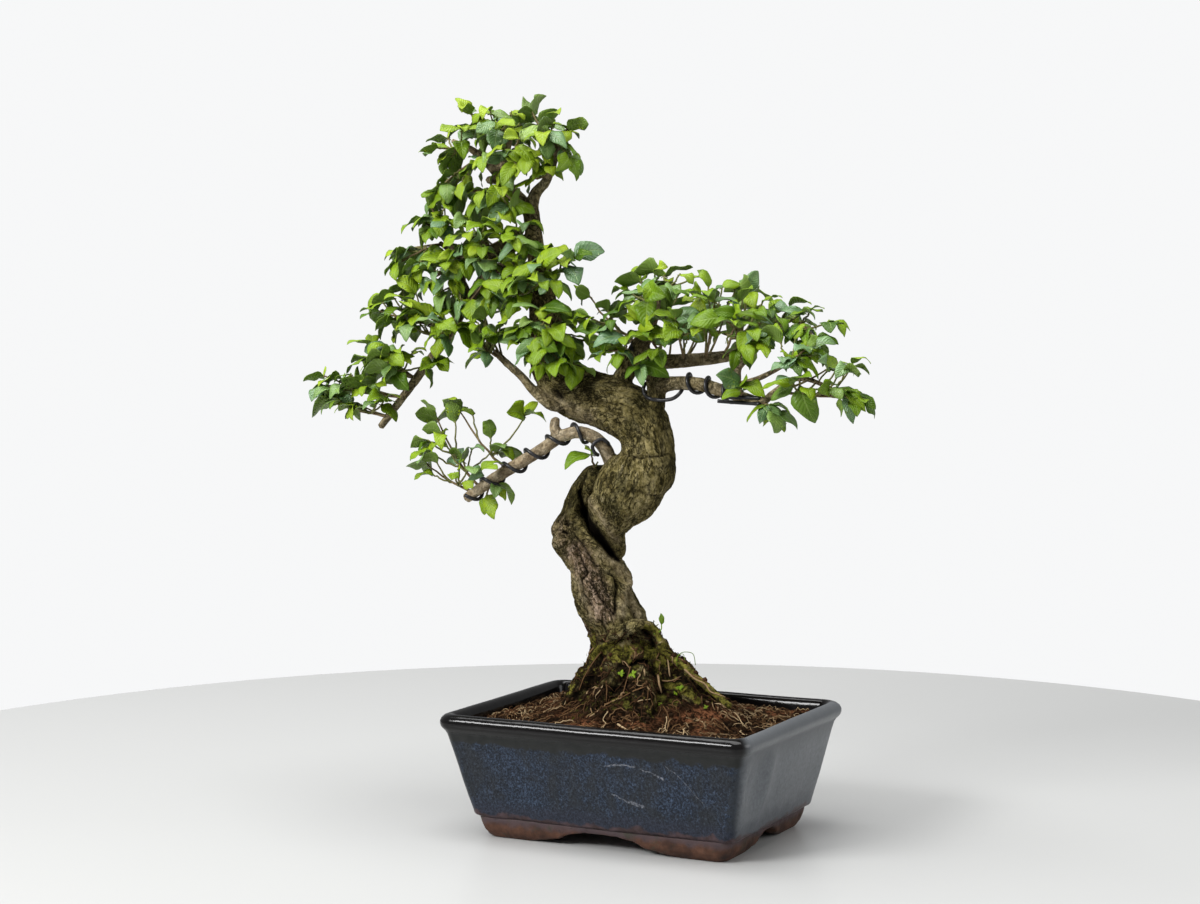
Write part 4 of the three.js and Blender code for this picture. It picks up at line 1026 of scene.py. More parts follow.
# Painted shadow that the leaves cast on the upper trunk, in patches
under_leaves = near([(574, 392), (598, 410), (612, 428), (622, 444)], 15)
shadowed = under_leaves * smooth_step(-0.35, 0.3, bumps(points, 6, 17.0, 3))
deep = np.maximum(deep, 0.5 * shadowed * front)
dead_wood = np.exp(-(to_line(shown, [(577, 552), (588, 572), (598, 592), (603, 612)]) / 13) ** 4) * front
knob_wood = 0.6 * near([(560, 524), (562, 540)], 9) * front
behind = smooth_step(0.35, 0.75, bumps(points, 26, 12.0, 2)) * low * age * (1 - front)
wood = np.clip(np.maximum(np.maximum(dead_wood, knob_wood), behind), 0, 1)
young = smooth_step(8.5, 4.5, limb_radius) * smooth_step(170, 215, points[:, 2])
young *= np.where(pale[nearest], 1.0, 0.45)
young *= smooth_step(2.5, 0.8, off_skin)
# Strands of paler wood, and lines of moss: pixels and width
PALE_STRANDS = [
    ([(600, 553), (615, 565), (627, 577), (629, 588), (623, 602), (621, 614)], 5.5),
    ([(630, 592), (636, 606), (640, 616)], 6), ([(590, 500), (603, 518), (616, 540)], 4),
    ([(574, 572), (582, 592), (592, 618)], 4.5), ([(545, 396), (570, 408), (592, 416)], 7),
]
for line, width in PALE_STRANDS:
    young = np.maximum(young, 0.45 * near(line, width) * front)
MOSS_LINES = [
    ([(630, 652), (640, 649), (650, 651), (664, 658)], 8),
    ([(613, 643), (598, 650), (586, 660), (577, 677)], 4.5),
    ([(608, 648), (620, 655), (634, 664)], 4), ([(574, 676), (567, 690)], 4),
    ([(664, 648), (677, 661), (705, 684), (722, 695)], 4.5), ([(618, 648), (613, 658)], 4),
    ([(644, 626), (654, 629), (660, 640)], 2.5), ([(669, 684), (684, 690), (700, 699)], 4),
    ([(592, 634), (589, 648)], 3),
]
mossy = np.max([near(line, width) for line, width in MOSS_LINES], axis=0) * front
mossy_back = (1 - front) * smooth_step(0.25, 0.6, bumps(points, 17, 41.0, 2))
mossy = np.maximum(mossy, mossy_back * smooth_step(165, 150, points[:, 2]))
moss = np.clip(mossy + 0.3 * smooth_step(190, 130, points[:, 2]), 0, 1)
rooty = np.max([near(line, width * 1.3) for line, width, _ in ROOT_RIDGES], axis=0) * front
rooty *= smooth_step(112, 134, points[:, 2])
earth = smooth_step(170, 148, points[:, 2]) * smooth_step(-0.75, -0.1, bumps(points, 13, 31.0, 3))
earth *= 1 - np.maximum(rooty, 0.8 * mossy)

points = points + FORWARD * sunk[:, None] + normals * relief[:, None]
trunk = Soup()
grain_metres = grain / 1000
trunk.add(points, faces, young=young, wood=wood, moss=moss, deep=deep, earth=earth,
          grain_x=grain_metres[:, 0], grain_y=grain_metres[:, 1], grain_z=grain_metres[:, 2])
trunk_points, trunk_normals = points, normals
thin_points = np.concatenate(thin.points)
buried = smooth_step(170, 150, thin_points[:, 2])
thin_grain = thin_points / (2000, 1000, 2500)
trunk.add(thin_points, thin.faces, young=0.5 * (1 - buried), moss=0.75 * buried, earth=0.5 * buried,
          grain_x=thin_grain[:, 0], grain_y=thin_grain[:, 1], grain_z=thin_grain[:, 2])
TREE_BVH = bvh_of(np.concatenate(trunk.points), trunk.faces)
trunk.make("tree", BARK, "bark", "trunk")


# Leafy sprays: the frame's leaves stay where they are, and finer twigs and more leaves grow round them

LEAF_LONG, LEAF_SHORT, LEAF_WIDTH = 27.0, 18.0, 0.58
STATIONS = np.array([-0.13, -0.03, 0.05, 0.14, 0.26, 0.4, 0.54, 0.68, 0.81, 0.92, 1.0])
HALF_WIDTHS = np.array([0.045, 0.05, 0.26, 0.68, 0.96, 1.05, 1.0, 0.85, 0.61, 0.34, 0.05])
ACROSS = np.array([-1.0, -0.5, 0.0, 0.5, 1.0])
LEAF_THICKNESS = 0.36


def leaf_faces():
    rows, columns = len(STATIONS), len(ACROSS)
    count = rows * columns
    faces = []
    for row in range(rows - 1):
        for column in range(columns - 1):
            here = row * columns + column
            quad = (here, here + columns, here + columns + 1, here + 1)
            faces.append(quad)
            faces.append(tuple(corner + count for corner in reversed(quad)))
    edge = [row * columns for row in range(rows)]
    edge += [(rows - 1) * columns + column for column in range(1, columns)]
    edge += [row * columns + columns - 1 for row in range(rows - 2, -1, -1)]
    edge += [column for column in range(columns - 2, 0, -1)]
    for here, beside in zip(edge, edge[1:] + edge[:1]):
        faces.append((here, here + count, beside + count, beside))
    return faces


LEAF_FACES = leaf_faces()
# At each point of one side of a leaf: how far down it, how far out from its rib, and its half width there
DOWN, OUT = np.meshgrid(STATIONS, ACROSS, indexing="ij")
WIDE = np.repeat(HALF_WIDTHS[:, None], len(ACROSS), 1)


def leaf_points(leaf, shape, sag=0.3):
    """Both sides of a leaf. Shape is a random stream for its form, and sag how far its weight bends it."""
    base, along, normal, length = leaf
    headings = unit(along - UP * sag * np.maximum(STATIONS, 0)[:, None])
    normals = unit(normal - headings * (headings @ normal)[:, None])
    sides = np.cross(normals, headings)[:, None]
    steps = np.diff(STATIONS)[:, None] * (headings[1:] + headings[:-1]) / 2
    spine = np.vstack([np.zeros(3), np.cumsum(steps, 0)]) + STATIONS[0] * along
    droop, fold = shape.uniform(0.06, 0.3), shape.uniform(0.05, 0.42)
    wave, phase = shape.uniform(0.03, 0.12), shape.uniform(0, 6.3)
    curl, twist = shape.uniform(-0.13, 0.13), shape.uniform(-0.8, 0.8)
    width = LEAF_WIDTH / 2 * shape.uniform(0.8, 1.15)
    edge = WIDE * (1 + 0.08 * np.sin(10 * DOWN + 1.7 * phase + np.sign(OUT)))
    lift = 0.16 * DOWN * (1 - DOWN) - droop * np.abs(DOWN) ** 3 + fold * np.abs(OUT) * WIDE * 0.5
    lift += wave * np.sin(8 * DOWN + phase + 2.2 * np.sign(OUT)) * np.abs(OUT) ** 1.5 * WIDE
    lift -= 0.09 * (np.abs(OUT) * WIDE) ** 2
    lift += twist * DOWN * OUT * WIDE * width
    aside = OUT * edge * width + curl * DOWN * DOWN
    normals = normals[:, None]
    middle = base + length * (spine[:, None] + aside[..., None] * sides + lift[..., None] * normals)
    half = LEAF_THICKNESS / 2 * np.where(DOWN < 0.02, 1.9, 1 - 0.35 * np.abs(OUT))[..., None]
    return np.concatenate([(middle + hand * half * normals).reshape(-1, 3) for hand in (1, -1)])


LEAF_ALONG = np.tile(DOWN.ravel(), 2)
LEAF_ACROSS = np.tile(OUT.ravel(), 2)
LEAF_UNDER = np.repeat([0.0, 1.0], DOWN.size)


def add_blade(soup, points, tone, wax=0.0):
    """A leaf for the leaf look: tone from dark to light, and a wax share that makes the face shinier and
    paints a pale sheen on its colour.
    """
    soup.add(points, LEAF_FACES, tone=tone, along=LEAF_ALONG, across=LEAF_ACROSS, under=LEAF_UNDER, wax=wax)


def random_from(seed):
    """The frame's own random stream, so that its leaves come out the same."""
    state = seed & 0xFFFFFFFF

    def draw():
        nonlocal state
        state = (state + 0x6D2B79F5) & 0xFFFFFFFF
        mixed = ((state ^ (state >> 15)) * (state | 1)) & 0xFFFFFFFF
        mixed ^= (mixed + (((mixed ^ (mixed >> 7)) * (mixed | 61)) & 0xFFFFFFFF)) & 0xFFFFFFFF
        return ((mixed ^ (mixed >> 14)) & 0xFFFFFFFF) / 4294967296
    return draw


class Twig:
    """A curved twig, for places and headings along it."""

    def __init__(self, start, tip):
        reach = tip - start
        self.ends = start, start + reach * np.array([0.55, 0.55, 0.3]), tip
        self.line = np.array([self.at(t) for t in np.linspace(0, 1, 9)])
        self.length = np.linalg.norm(np.diff(self.line, axis=0), axis=1).sum()

    def at(self, t):
        a, b, c = self.ends
        return (1 - t) ** 2 * a + 2 * t * (1 - t) * b + t * t * c

    def heading(self, t):
        a, b, c = self.ends
        return unit((1 - t) * (b - a) + t * (c - b) + 1e-9)


def draw_leaf(base, heading, outward, scale, draw, loose):
    """A leaf as its base, heading, normal and length. A loose one lies flatter than the frame's."""
    length = scale * lerp(LEAF_SHORT, LEAF_LONG, draw())
    if loose:
        heading = heading * np.array([1, 1, 0.4 if heading[2] > 0 else 1])
    along = unit(heading + UP * lerp(-0.35, 0.15, draw()))
    tilt = np.array([draw() - 0.5, draw() - 0.5, draw() - 0.5])
    normal = UP * (1.0 if loose else 0.65) + outward * (0.3 if loose else 0.55) + tilt * 0.9
    return base, along, unit(normal - along * (normal @ along)), length


def end_leaf(twig, outward, draw, scale=0.75, loose=False):
    return draw_leaf(twig.at(1 - 1 / twig.length), twig.heading(1), outward, scale, draw, loose)


def pair_leaf(twig, t, hand, outward, draw, turned=0.0, scale=1.0, loose=False):
    """One leaf of a pair at t along a twig, on the side that hand says."""
    tangent = twig.heading(t)
    level = unit(np.cross(tangent, UP))
    lifted = np.cross(level, tangent)
    turn = (draw() - 0.5) * 0.9 + turned
    spread = lerp(0.75, 1.15, draw())
    across = level * math.cos(turn) + lifted * math.sin(turn)
    heading = tangent * math.cos(spread) + across * hand * math.sin(spread)
    return draw_leaf(twig.at(t), heading, outward, scale, draw, loose)


# How often a leaf is tried, how far it keeps from other leaves and from wood, and the steps down a twig
TRIES, LEAF_GAP, WOOD_MARGIN = 5, 6.0, 3.5
PAIR_STEP, LEAFY_REACH = 12.0, 30.0


def in_frame(bvh, leaf):
    """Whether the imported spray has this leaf, judged by its tip and a point of its blade."""
    base, along, normal, length = leaf
    for out, up in ((1.0, -0.1), (0.64, 0.03)):
        place = base + along * out * length + normal * up * length
        if bvh.find_nearest(Vector(world(place)), 0.0005)[0] is None:
            return False
    return True


def clear_of_wood(leaf):
    base, along, _, length = leaf
    return TREE_BVH.find_nearest(Vector(base + along * length * 0.6), WOOD_MARGIN)[0] is None


def middle_of(leaf):
    base, along, _, length = leaf
    return base + along * length / 2


def far_from(centres, place, gap):
    """Whether every centre is more than gap away from the place."""
    return min((np.linalg.norm(place - other) for other in centres), default=gap + 1) > gap


BOX_LOW, BOX_HIGH = [np.array(corner) * 1000 - SHIFT for corner in cad_box]


def in_box(points):
    return np.all((points > BOX_LOW) & (points < BOX_HIGH))


def drawn_in(points, base):
    """A leaf made smaller about its base, then moved by what is left, until the frame's box holds it."""
    reach = points - base
    room = np.maximum(np.where(reach > 0, BOX_HIGH - base, base - BOX_LOW), 0.1)
    points = base + reach / np.clip(np.max(np.abs(reach) / room), 1, 1.4)
    past = np.minimum(BOX_HIGH - points.max(0), 0) + np.maximum(BOX_LOW - points.min(0), 0)
    return points + past


# How many of the twigs that the frame leaves bare get a pair of leaves, how many leaves sit farther down
# a twig, and how much brighter the leaves are than most
FULLNESS = {"right": (0.52, 0.08, -0.12), "low": (0.15, 0.0, 0.08), "mid": (0.68, 0.18, 0.09),
            "trunk": (0.66, 0.18, 0.11), "apex": (1.0, 0.6, 0.23), "ring": (0, 0, 0.1), "": (0.9, 0.36, 0.09)}


def grow(name, number, kept, rows):
    """The leaves and twigs of one of the frame's sprays."""
    root, *tips = [seen(row) for row in rows]
    bvh = BVHTree.FromPolygons(
        [vertex.co for vertex in frame["nodes"][f"spray_{name}"].data.vertices],
        [tuple(polygon.vertices) for polygon in frame["nodes"][f"spray_{name}"].data.polygons])
    spray, stems = Soup(), Soup()
    shape = random.Random(7000 + number)
    centres = []
    top = max(tip[2] for tip in tips)
    low = min(min(tip[2] for tip in tips), top - 20)

    def tone_at(place, fresh):
        height = (place[2] - low) / (top - low)
        return drawn_share(shape, 0.33 + lift + 0.24 * height + 0.28 * fresh, 0.21)

    full_tips, full_twigs, lift = next(row for start, row in FULLNESS.items() if name.startswith(start))

    def add_leaf(leaf, fresh, points):
        centres.append(middle_of(leaf))
        wax = shape.uniform(0.35, 0.95) if shape.random() < 0.36 - 0.18 * fresh else 0.0
        add_blade(spray, points, tone_at(centres[-1], fresh), wax)

    def add_extra(make, fresh):
        for _ in range(TRIES):
            leaf = make()
            points = leaf_points(leaf, shape, shape.uniform(0.3, 1.1))
            if far_from(centres, middle_of(leaf), LEAF_GAP) and clear_of_wood(leaf) and in_box(points):
                add_leaf(leaf, fresh, points)
                return

    main = Twig(root, tips[0])
    axis = tips[0] - root
    twigs = []
    for index, tip in enumerate(tips):
        beside = (tip - root) @ axis / (axis @ axis)
        start = main.at(np.clip(beside - 0.3, 0.3, 0.7)) if index else root
        twig = Twig(start, tip)
        twigs.append((twig, unit((tip - root) * np.array([1, 1, 0]) + 1e-9)))
    for index, (twig, outward) in enumerate(twigs[:kept]):
        draw = random_from(100 * (number + 1) + index)
        t = max(1 - 2 / twig.length, 0.1)
        makers = [lambda hand=hand: pair_leaf(twig, t, hand, outward, draw) for hand in (1, -1)]
        if index == 0:
            makers.append(lambda: end_leaf(twig, outward, draw))
        for make in makers:
            for _ in range(TRIES):
                leaf = make()
                if in_frame(bvh, leaf):
                    points = drawn_in(leaf_points(leaf, shape, shape.uniform(0.1, 0.5)), leaf[0])
                    add_leaf(leaf, shape.uniform(0.0, 0.8), points)
                    break
    for index, (twig, outward) in enumerate(twigs):
        extra = random.Random(9000 + 50 * number + index)
        draw = extra.random
        if index and full_tips:
            add_extra(lambda: end_leaf(twig, outward, draw, 0.78, True), 1.0)
        if index >= kept and draw() < full_tips:
            t = max(1 - 3 / twig.length, 0.1)
            for hand in (1, -1):
                add_extra(lambda: pair_leaf(twig, t, hand, outward, draw, 0, extra.uniform(0.72, 1.0), True),
                          0.6)
        turned = math.pi / 2
        back = PAIR_STEP
        while back < twig.length - 8 and back < LEAFY_REACH:
            t = 1 - back / twig.length
            for hand in (1, -1):
                if draw() < full_twigs:
                    add_extra(lambda: pair_leaf(twig, t, hand, outward, draw, turned,
                                                extra.uniform(0.72, 1.02), True), 0.1)
            turned = math.pi / 2 - turned
            back += PAIR_STEP
        wander = np.array([[extra.gauss(0, 0.35) for _ in range(3)] for _ in twig.line])
        wander[0] = wander[-1] = 0
        thickness = np.linspace(1.25 if index == 0 else 0.95, 0.6, len(twig.line))
        stems.add(*tube(twig.line + wander, thickness, 8), fresh=0.5 if index else 0.0)
    spray.make(f"leaves_{name}", LEAF, "leaf", f"spray_{name}")
    stems.make(f"twigs_{name}", TWIG, "bark")
    FOLIAGE.add(np.concatenate(spray.points), spray.faces)


# Leaves that hang clear at the right: both ends as pixels, depth, width against length, tone and wax, which
# makes a leaf shinier and paints a pale sheen on it
HANGING = [
    ((800, 386), (809, 423), -37, 1.1, 0.34, 0.1), ((794, 386), (768, 397), -38, 0.8, 0.4, 0.2),
    ((846, 394), (852, 423), -43, 0.72, 0.35, 0.7), ((846, 390), (866, 407), -45, 0.66, 0.5, 0.0),
    ((807, 333), (819, 361), -26, 0.9, 0.62, 0.0), ((806, 314), (778, 309), -4, 0.6, 0.4, 0.8),
]


def on_line_of_sight(pixel, depth):
    ray = view_ray(pixel)
    return EYE + ray * (depth - EYE[1]) / ray[1]


hanging, shape = Soup(), random.Random(311)
for base_pixel, tip_pixel, depth, width, tone, wax in HANGING:
    base, tip = on_line_of_sight(base_pixel, depth), on_line_of_sight(tip_pixel, depth - 3)
    along = unit(tip - base)
    facing_eye = unit(-FORWARD + 0.45 * UP - 0.3 * RIGHT)
    normal = unit(facing_eye - along * (facing_eye @ along))
    points = leaf_points((base, along, normal, np.linalg.norm(tip - base)), shape, 0.05)
    sideways = np.cross(normal, along)
    points += sideways * (((points - base) @ sideways) * (width - 1))[:, None]
    add_blade(hanging, drawn_in(points, base), tone, wax)
    wood = TREE_BVH.find_nearest(Vector(base), 14)[0]
    if wood is not None:
        stalk = np.linspace(np.array(wood) - unit(base - np.array(wood)), base, 5)
        hanging.add(*tube(stalk, 0.55, 7, 0.5), tone=0.5, along=-0.1, across=0, under=0, wax=0)
hanging.make("leaves_hanging", LEAF, "leaf")

FOLIAGE = Soup()
for number, (name, (kept, rows)) in enumerate(SPRAYS.items()):
    grow(name, number, kept, rows)

# Leaves on the far side of the limbs, each behind leaves or wood as the photograph shows the tree
FOLIAGE_BVH = bvh_of(np.concatenate(FOLIAGE.points), FOLIAGE.faces)
ONE_SIDED = ("low", "ring_twig", "right_bud", "right_drop", "apex_back", "right_crown_back",
             "right_dome_back")
# The points of a leaf, from stalk to tip and at its widest, that have to be hidden
LEAF_CORNERS = [8, 22, 38, 48, 20, 24, 50, 54]
HIDDEN_TRIES, HIDDEN_GAP, HIDDEN_START, HIDDEN_STEP, SIGHT_MARGIN = 3, 8.0, 2.0, 10.0, 5.0


def behind(points):
    """Whether every point is hidden from the photograph's eye."""
    for point in points:
        ray = Vector(point - EYE)
        reach = ray.length - SIGHT_MARGIN
        if all(bvh.ray_cast(Vector(EYE), ray, reach)[0] is None for bvh in (FOLIAGE_BVH, TREE_BVH)):
            return False
    return True


def grow_behind(number, rows, leaves, stems, centres):
    """Leaves and twigs on the far side of a spray, mirrored in the depth of its root."""
    root, tips = rows[0], rows[1:]
    shape = random.Random(7500 + number)
    start = seen(root)
    for tip in tips[::2]:
        away = np.array([tip[0], tip[1], 2 * root[2] - tip[2] + shape.uniform(2, 14)])
        twig = Twig(start, seen(away))
        outward = unit((twig.ends[2] - start) * np.array([1, 1, 0]) + 1e-9)
        grown = 0
        back = HIDDEN_START
        turned = 0.0
        while back < min(twig.length - 6, LEAFY_REACH):
            t = 1 - back / twig.length
            makers = [lambda hand=hand: pair_leaf(twig, t, hand, outward, shape.random, turned,
                                                  shape.uniform(0.75, 1), True) for hand in (1, -1)]
            if back == HIDDEN_START:
                makers.append(lambda: end_leaf(twig, outward, shape.random, 0.8, True))
            for make in makers:
                for _ in range(HIDDEN_TRIES):
                    leaf = make()
                    points = leaf_points(leaf, shape, shape.uniform(0.3, 1.0))
                    free = far_from(centres, middle_of(leaf), HIDDEN_GAP) and in_box(points)
                    if free and clear_of_wood(leaf) and behind(points[LEAF_CORNERS]):
                        centres.append(middle_of(leaf))
                        wax = shape.uniform(0.4, 0.95) if shape.random() < 0.22 else 0.0
                        add_blade(leaves, points, drawn_share(shape, 0.45, 0.2), wax)
                        grown += 1
                        break
            turned = math.pi / 2 - turned
            back += HIDDEN_STEP
        if grown:
            stems.add(*tube(twig.line, np.linspace(1.1, 0.6, len(twig.line)), 7), fresh=0.2)


for region in ("apex", "left", "mid", "front", "trunk", "right"):
    leaves, stems, centres = Soup(), Soup(), []
    for number, (name, (kept, rows)) in enumerate(SPRAYS.items()):
        if name.startswith(region) and not name.startswith(ONE_SIDED):
            grow_behind(number, rows, leaves, stems, centres)
    if centres:
        leaves.make(f"leaves_behind_{region}", LEAF, "leaf")
        stems.make(f"twigs_behind_{region}", TWIG, "bark")


# Training wires, wound as in the frame, with the loops by which they hold on

STEPS_PER_TURN = 20
# The radius of the finer wire, which is drawn with more sides than the frame's
ROUND_RADIUS = WIRE_RADIUS * 0.88


def winding(limb, start, end, turns, start_angle):
    """A wire's line round a limb, between two shares of its length."""
    curve = tree[limb]
    steps = round(turns * STEPS_PER_TURN)
    places = [curve.by_length(share) for share in np.linspace(start, end, steps + 1)]
    rows = np.array([curve.at(t) for t in places])
    normals, sides = frames(rows[:, :3], [curve.tangent(t) for t in places])
    angles = start_angle + 2 * math.pi * turns * np.arange(steps + 1) / steps
    out = np.cos(angles)[:, None] * normals + np.sin(angles)[:, None] * sides
    away = rows[:, 3] + ROUND_RADIUS
    slack = 0.3 * np.sin(angles * 0.37 + 1) + 0.2
    return rows[:, :3] + out * (away + slack)[:, None]


def wire(name, lines, nodes):
    soup = Soup()
    for line in lines:
        soup.add(*tube(line, ROUND_RADIUS, 12, 0.15))
    soup.make(name, WIRE, "wire", *nodes)


def laid(rows):
    """A smooth line through rows of a pixel and how far in front of the wood seen there it lies."""
    rays = [view_ray(row[:2]) for row in rows]
    hits = [TREE_BVH.ray_cast(Vector(EYE), Vector(ray))[0] for ray in rays]
    seen_wood = [index for index, hit in enumerate(hits) if hit is not None]
    wood_depths = [(np.array(hits[index]) - EYE) @ FORWARD for index in seen_wood]
    depths = np.interp(range(len(rows)), seen_wood, wood_depths)
    return Curve([EYE + ray * (depth - row[2]) / (ray @ FORWARD)
                  for ray, depth, row in zip(rays, depths, rows)], 6).samples


NECK_LOOP = [(655, 380, -19), (648, 382, -9), (643.5, 388, -1), (645, 395, 1.9), (650, 398.5, 1.7),
             (658, 400, 1.6), (666, 400, 1.6), (674, 398, 1.7), (680, 393, 1.9), (683, 387, -7),
             (683, 381, -12)]
DOUBLE_RUN = [(722, 397, 1.5), (735, 397.5, 1.6), (748, 397.5, 1.6), (760, 398, 1.5)]
LOOSE_END = [(717.5, 401, 1.0), (730, 402, 1.5), (745, 403, 1.5), (760, 404, 1.5)]
HUB_ARC = [(633, 341, -5), (631.5, 350, 1.2), (634, 358, 1.7), (640, 363, 1.7), (648, 364.5, 1.7),
           (655, 362, -3)]
STAPLE = [(598, 455, -4), (594.5, 452.5, 0.5), (592.5, 447, 1.2), (595.5, 442, 1.8), (602, 439.2, 1.8),
          (607.5, 442.5, 1.6), (609.5, 447, -3)]
wire("low_branch_wire", [winding("low", 0.26, 0.985, 5.4, 0.94), laid(STAPLE)], ["wire_low"])
wire("right_branch_wire", [winding("wired", 0.14, 0.42, 3, 2.4), laid(NECK_LOOP), laid(DOUBLE_RUN),
                           laid(LOOSE_END), laid(HUB_ARC)], ["wire_right"])


# Pot: the glazed body as one skin with a drooping glaze edge, over a bare foot with arches

# The glazed body from under its floor, up the outside, over the rim and down the inside: height, half length,
# half depth and corner radius
POT_RINGS = [
    (17.2, 113.2, 76.9, 9), (18, 114.6, 77.8, 9), (19.2, 115.3, 78.3, 9), (24, 116.3, 79.4, 9),
    (34, 118.4, 81.8, 9), (45, 121, 84.5, 9), (58, 123.9, 87.6, 9), (70, 126.5, 90.5, 9),
    (79, 128.5, 92.9, 9), (84, 129.7, 94.2, 9), (86.6, 131.2, 95.8, 10), (88.4, 133, 97.6, 11.5),
    (90.2, 134.4, 98.9, 12.6), (92.5, 135, 99.5, 13), (95, 134.9, 99.4, 13), (97.2, 133.8, 98.3, 12.6),
    (99, 131.9, 96.6, 12), (99.9, 129.6, 94.6, 11), (100, 128, 93.2, 10.4), (99.5, 126.4, 91.7, 9.8),
    (98.3, 124.6, 90.2, 9), (96.4, 123.2, 89.1, 8.5), (94, 122.5, 88.5, 8), (86, 121.2, 86.7, 7.4),
    (70, 118.5, 82.5, 6), (45, 112.3, 75.3, 6), (27.5, 108, 70.6, 6), (26.3, 106.4, 69, 6),
    (26, 104.6, 67.2, 6),
]
POT_MIDDLE = np.array([POT_X, 0, 0])
DRAIN_RADIUS, DRAIN_OFFSET, DRAIN_SIDES = 9.0, 55.0, 32
SIDE_STEPS, CORNER_STEPS = (34, 24), 9


def rounded_ring(half_x, half_y, radius):
    """Points round a rectangle with round corners: a corner, the side after it, and so on."""
    arcs = []
    for corner, signs in enumerate([(1, 1), (-1, 1), (-1, -1), (1, -1)]):
        angles = np.linspace(corner, corner + 1, CORNER_STEPS + 1) * math.pi / 2
        centre = np.array(signs) * (half_x - radius, half_y - radius)
        arcs.append(centre + radius * np.stack([np.cos(angles), np.sin(angles)], 1))
    ring = []
    for corner, arc in enumerate(arcs):
        side = np.linspace(arc[-1], arcs[(corner + 1) % 4][0], SIDE_STEPS[corner % 2] + 1)
        ring += [arc, side[1:-1]]
    return np.vstack(ring)


def skin(rings):
    """Faces over a chain of rings with equal counts of points, from the first to the last."""
    count = len(rings[0])
    faces = []
    for level in range(len(rings) - 1):
        for corner in range(count):
            here = level * count + corner
            beside = level * count + (corner + 1) % count
            faces.append((here, beside, beside + count, here + count))
    return faces


def closed_skin(rings):
    """The same with a face over the first ring and one over the last."""
    count = len(rings[0])
    last = (len(rings) - 1) * count
    return skin(rings) + [tuple(range(count - 1, -1, -1)), tuple(range(last, last + count))]


def handmade(points):
    """Uneven walls: slow waves, a dent in the right end and a sagging glaze edge."""
    points = points.copy()
    x, y, z = points.T
    outward = np.stack([x / 130, y / 95, np.zeros(len(x))], 1)
    outside = smooth_step(0, 4, np.maximum(np.abs(x) - 104 - z * 0.17, np.abs(y) - 69 - z * 0.17))
    wall = smooth_step(20, 34, z) * smooth_step(88, 74, z) * outside
    slow = bumps(points, 55, 2.0, 2) * 0.7
    right_end = smooth_step(108, 114, x)
    dent = np.hypot((y + 58) / 17, (z - 62) / 22)
    swirl = -3.4 * np.exp(-dent ** 4) + 1.7 * np.exp(-((dent - 1.45) / 0.26) ** 2)
    swirl += 0.8 * np.exp(-(((y - 20) / 40) ** 2 + ((z - 70 + y / 12) / 5) ** 2))
    points += outward * ((slow + right_end * swirl) * wall)[:, None]
    droop = 0.9 * bumps(points, 14, 5.0, 3) * smooth_step(24, 18.5, z) * outside
    points[:, 2] += droop
    points[:, 2] += 0.35 * bumps(points, 60, 8.0, 2) * smooth_step(84, 90, z)
    return points


def cut(obj, cutters):
    for cutter in cutters:
        made = obj.modifiers.new("cut", "BOOLEAN")
        made.operation = "DIFFERENCE"
        made.solver = "EXACT"
        made.object = cutter
    found = bpy.data.meshes.new_from_object(obj.evaluated_get(bpy.context.evaluated_depsgraph_get()))
    for used in [obj, *cutters]:
        bpy.data.objects.remove(used)
    return found


def solid(points, faces):
    """A part of the pot as an object, from points about the pot's middle."""
    soup = Soup()
    soup.add(np.asarray(points) + POT_MIDDLE, faces)
    obj = bpy.data.objects.new("solid", soup.mesh("solid"))
    bpy.context.collection.objects.link(obj)
    return obj


def prism(outline, low, high, axes):
    """A straight bar with the given outline; axes names the outline's two axes and the bar's own."""
    ends = [[(*place, end) for place in outline] for end in (low, high)]
    points = np.zeros((2 * len(outline), 3))
    points[:, axes] = np.vstack(ends)
    faces = closed_skin(ends)
    if axes == (0, 2, 1):
        # These axes are left-handed, which would turn the faces inside out
        faces = [tuple(reversed(face)) for face in faces]
    return solid(points, faces)


def drains():
    """Two bars that cut the drainage holes."""
    bars = []
    for offset in (-DRAIN_OFFSET, DRAIN_OFFSET):
        circle = [(offset + DRAIN_RADIUS * math.cos(angle), DRAIN_RADIUS * math.sin(angle))
                  for angle in np.linspace(0, 2 * math.pi, DRAIN_SIDES + 1)[:-1]]
        bars.append(prism(circle, -5, 40, (0, 1, 2)))
    return bars


def level_ring(height, half_x, half_y, radius):
    """A rounded ring at a height, as points in space."""
    flat = rounded_ring(half_x, half_y, radius)
    return np.column_stack([flat, np.full(len(flat), height)])


rings = [level_ring(*row) for row in POT_RINGS]
body = cut(solid(handmade(np.vstack(rings)), closed_skin(rings)), drains())
body.polygons.foreach_set("use_smooth", np.ones(len(body.polygons), bool))
piece(body, "pot_body", GLAZE, "pot_glaze", "pot")

FOOT_X, FOOT_Y, FOOT_WALL, RECESS_HEIGHT, FOOT_TOP = 108.0, 75.0, 11.0, 12.0, 17.8
ARCH = [(66, 0), (50, 2.5), (38, 4.5), (30, 9), (14, 12)]


def arch_outline(scale):
    half = [(out * scale, height) for out, height in ARCH]
    outline = [(-ARCH[0][0] * scale, -3), (ARCH[0][0] * scale, -3), *half]
    return outline + [(-out, height) for out, height in reversed(half)]


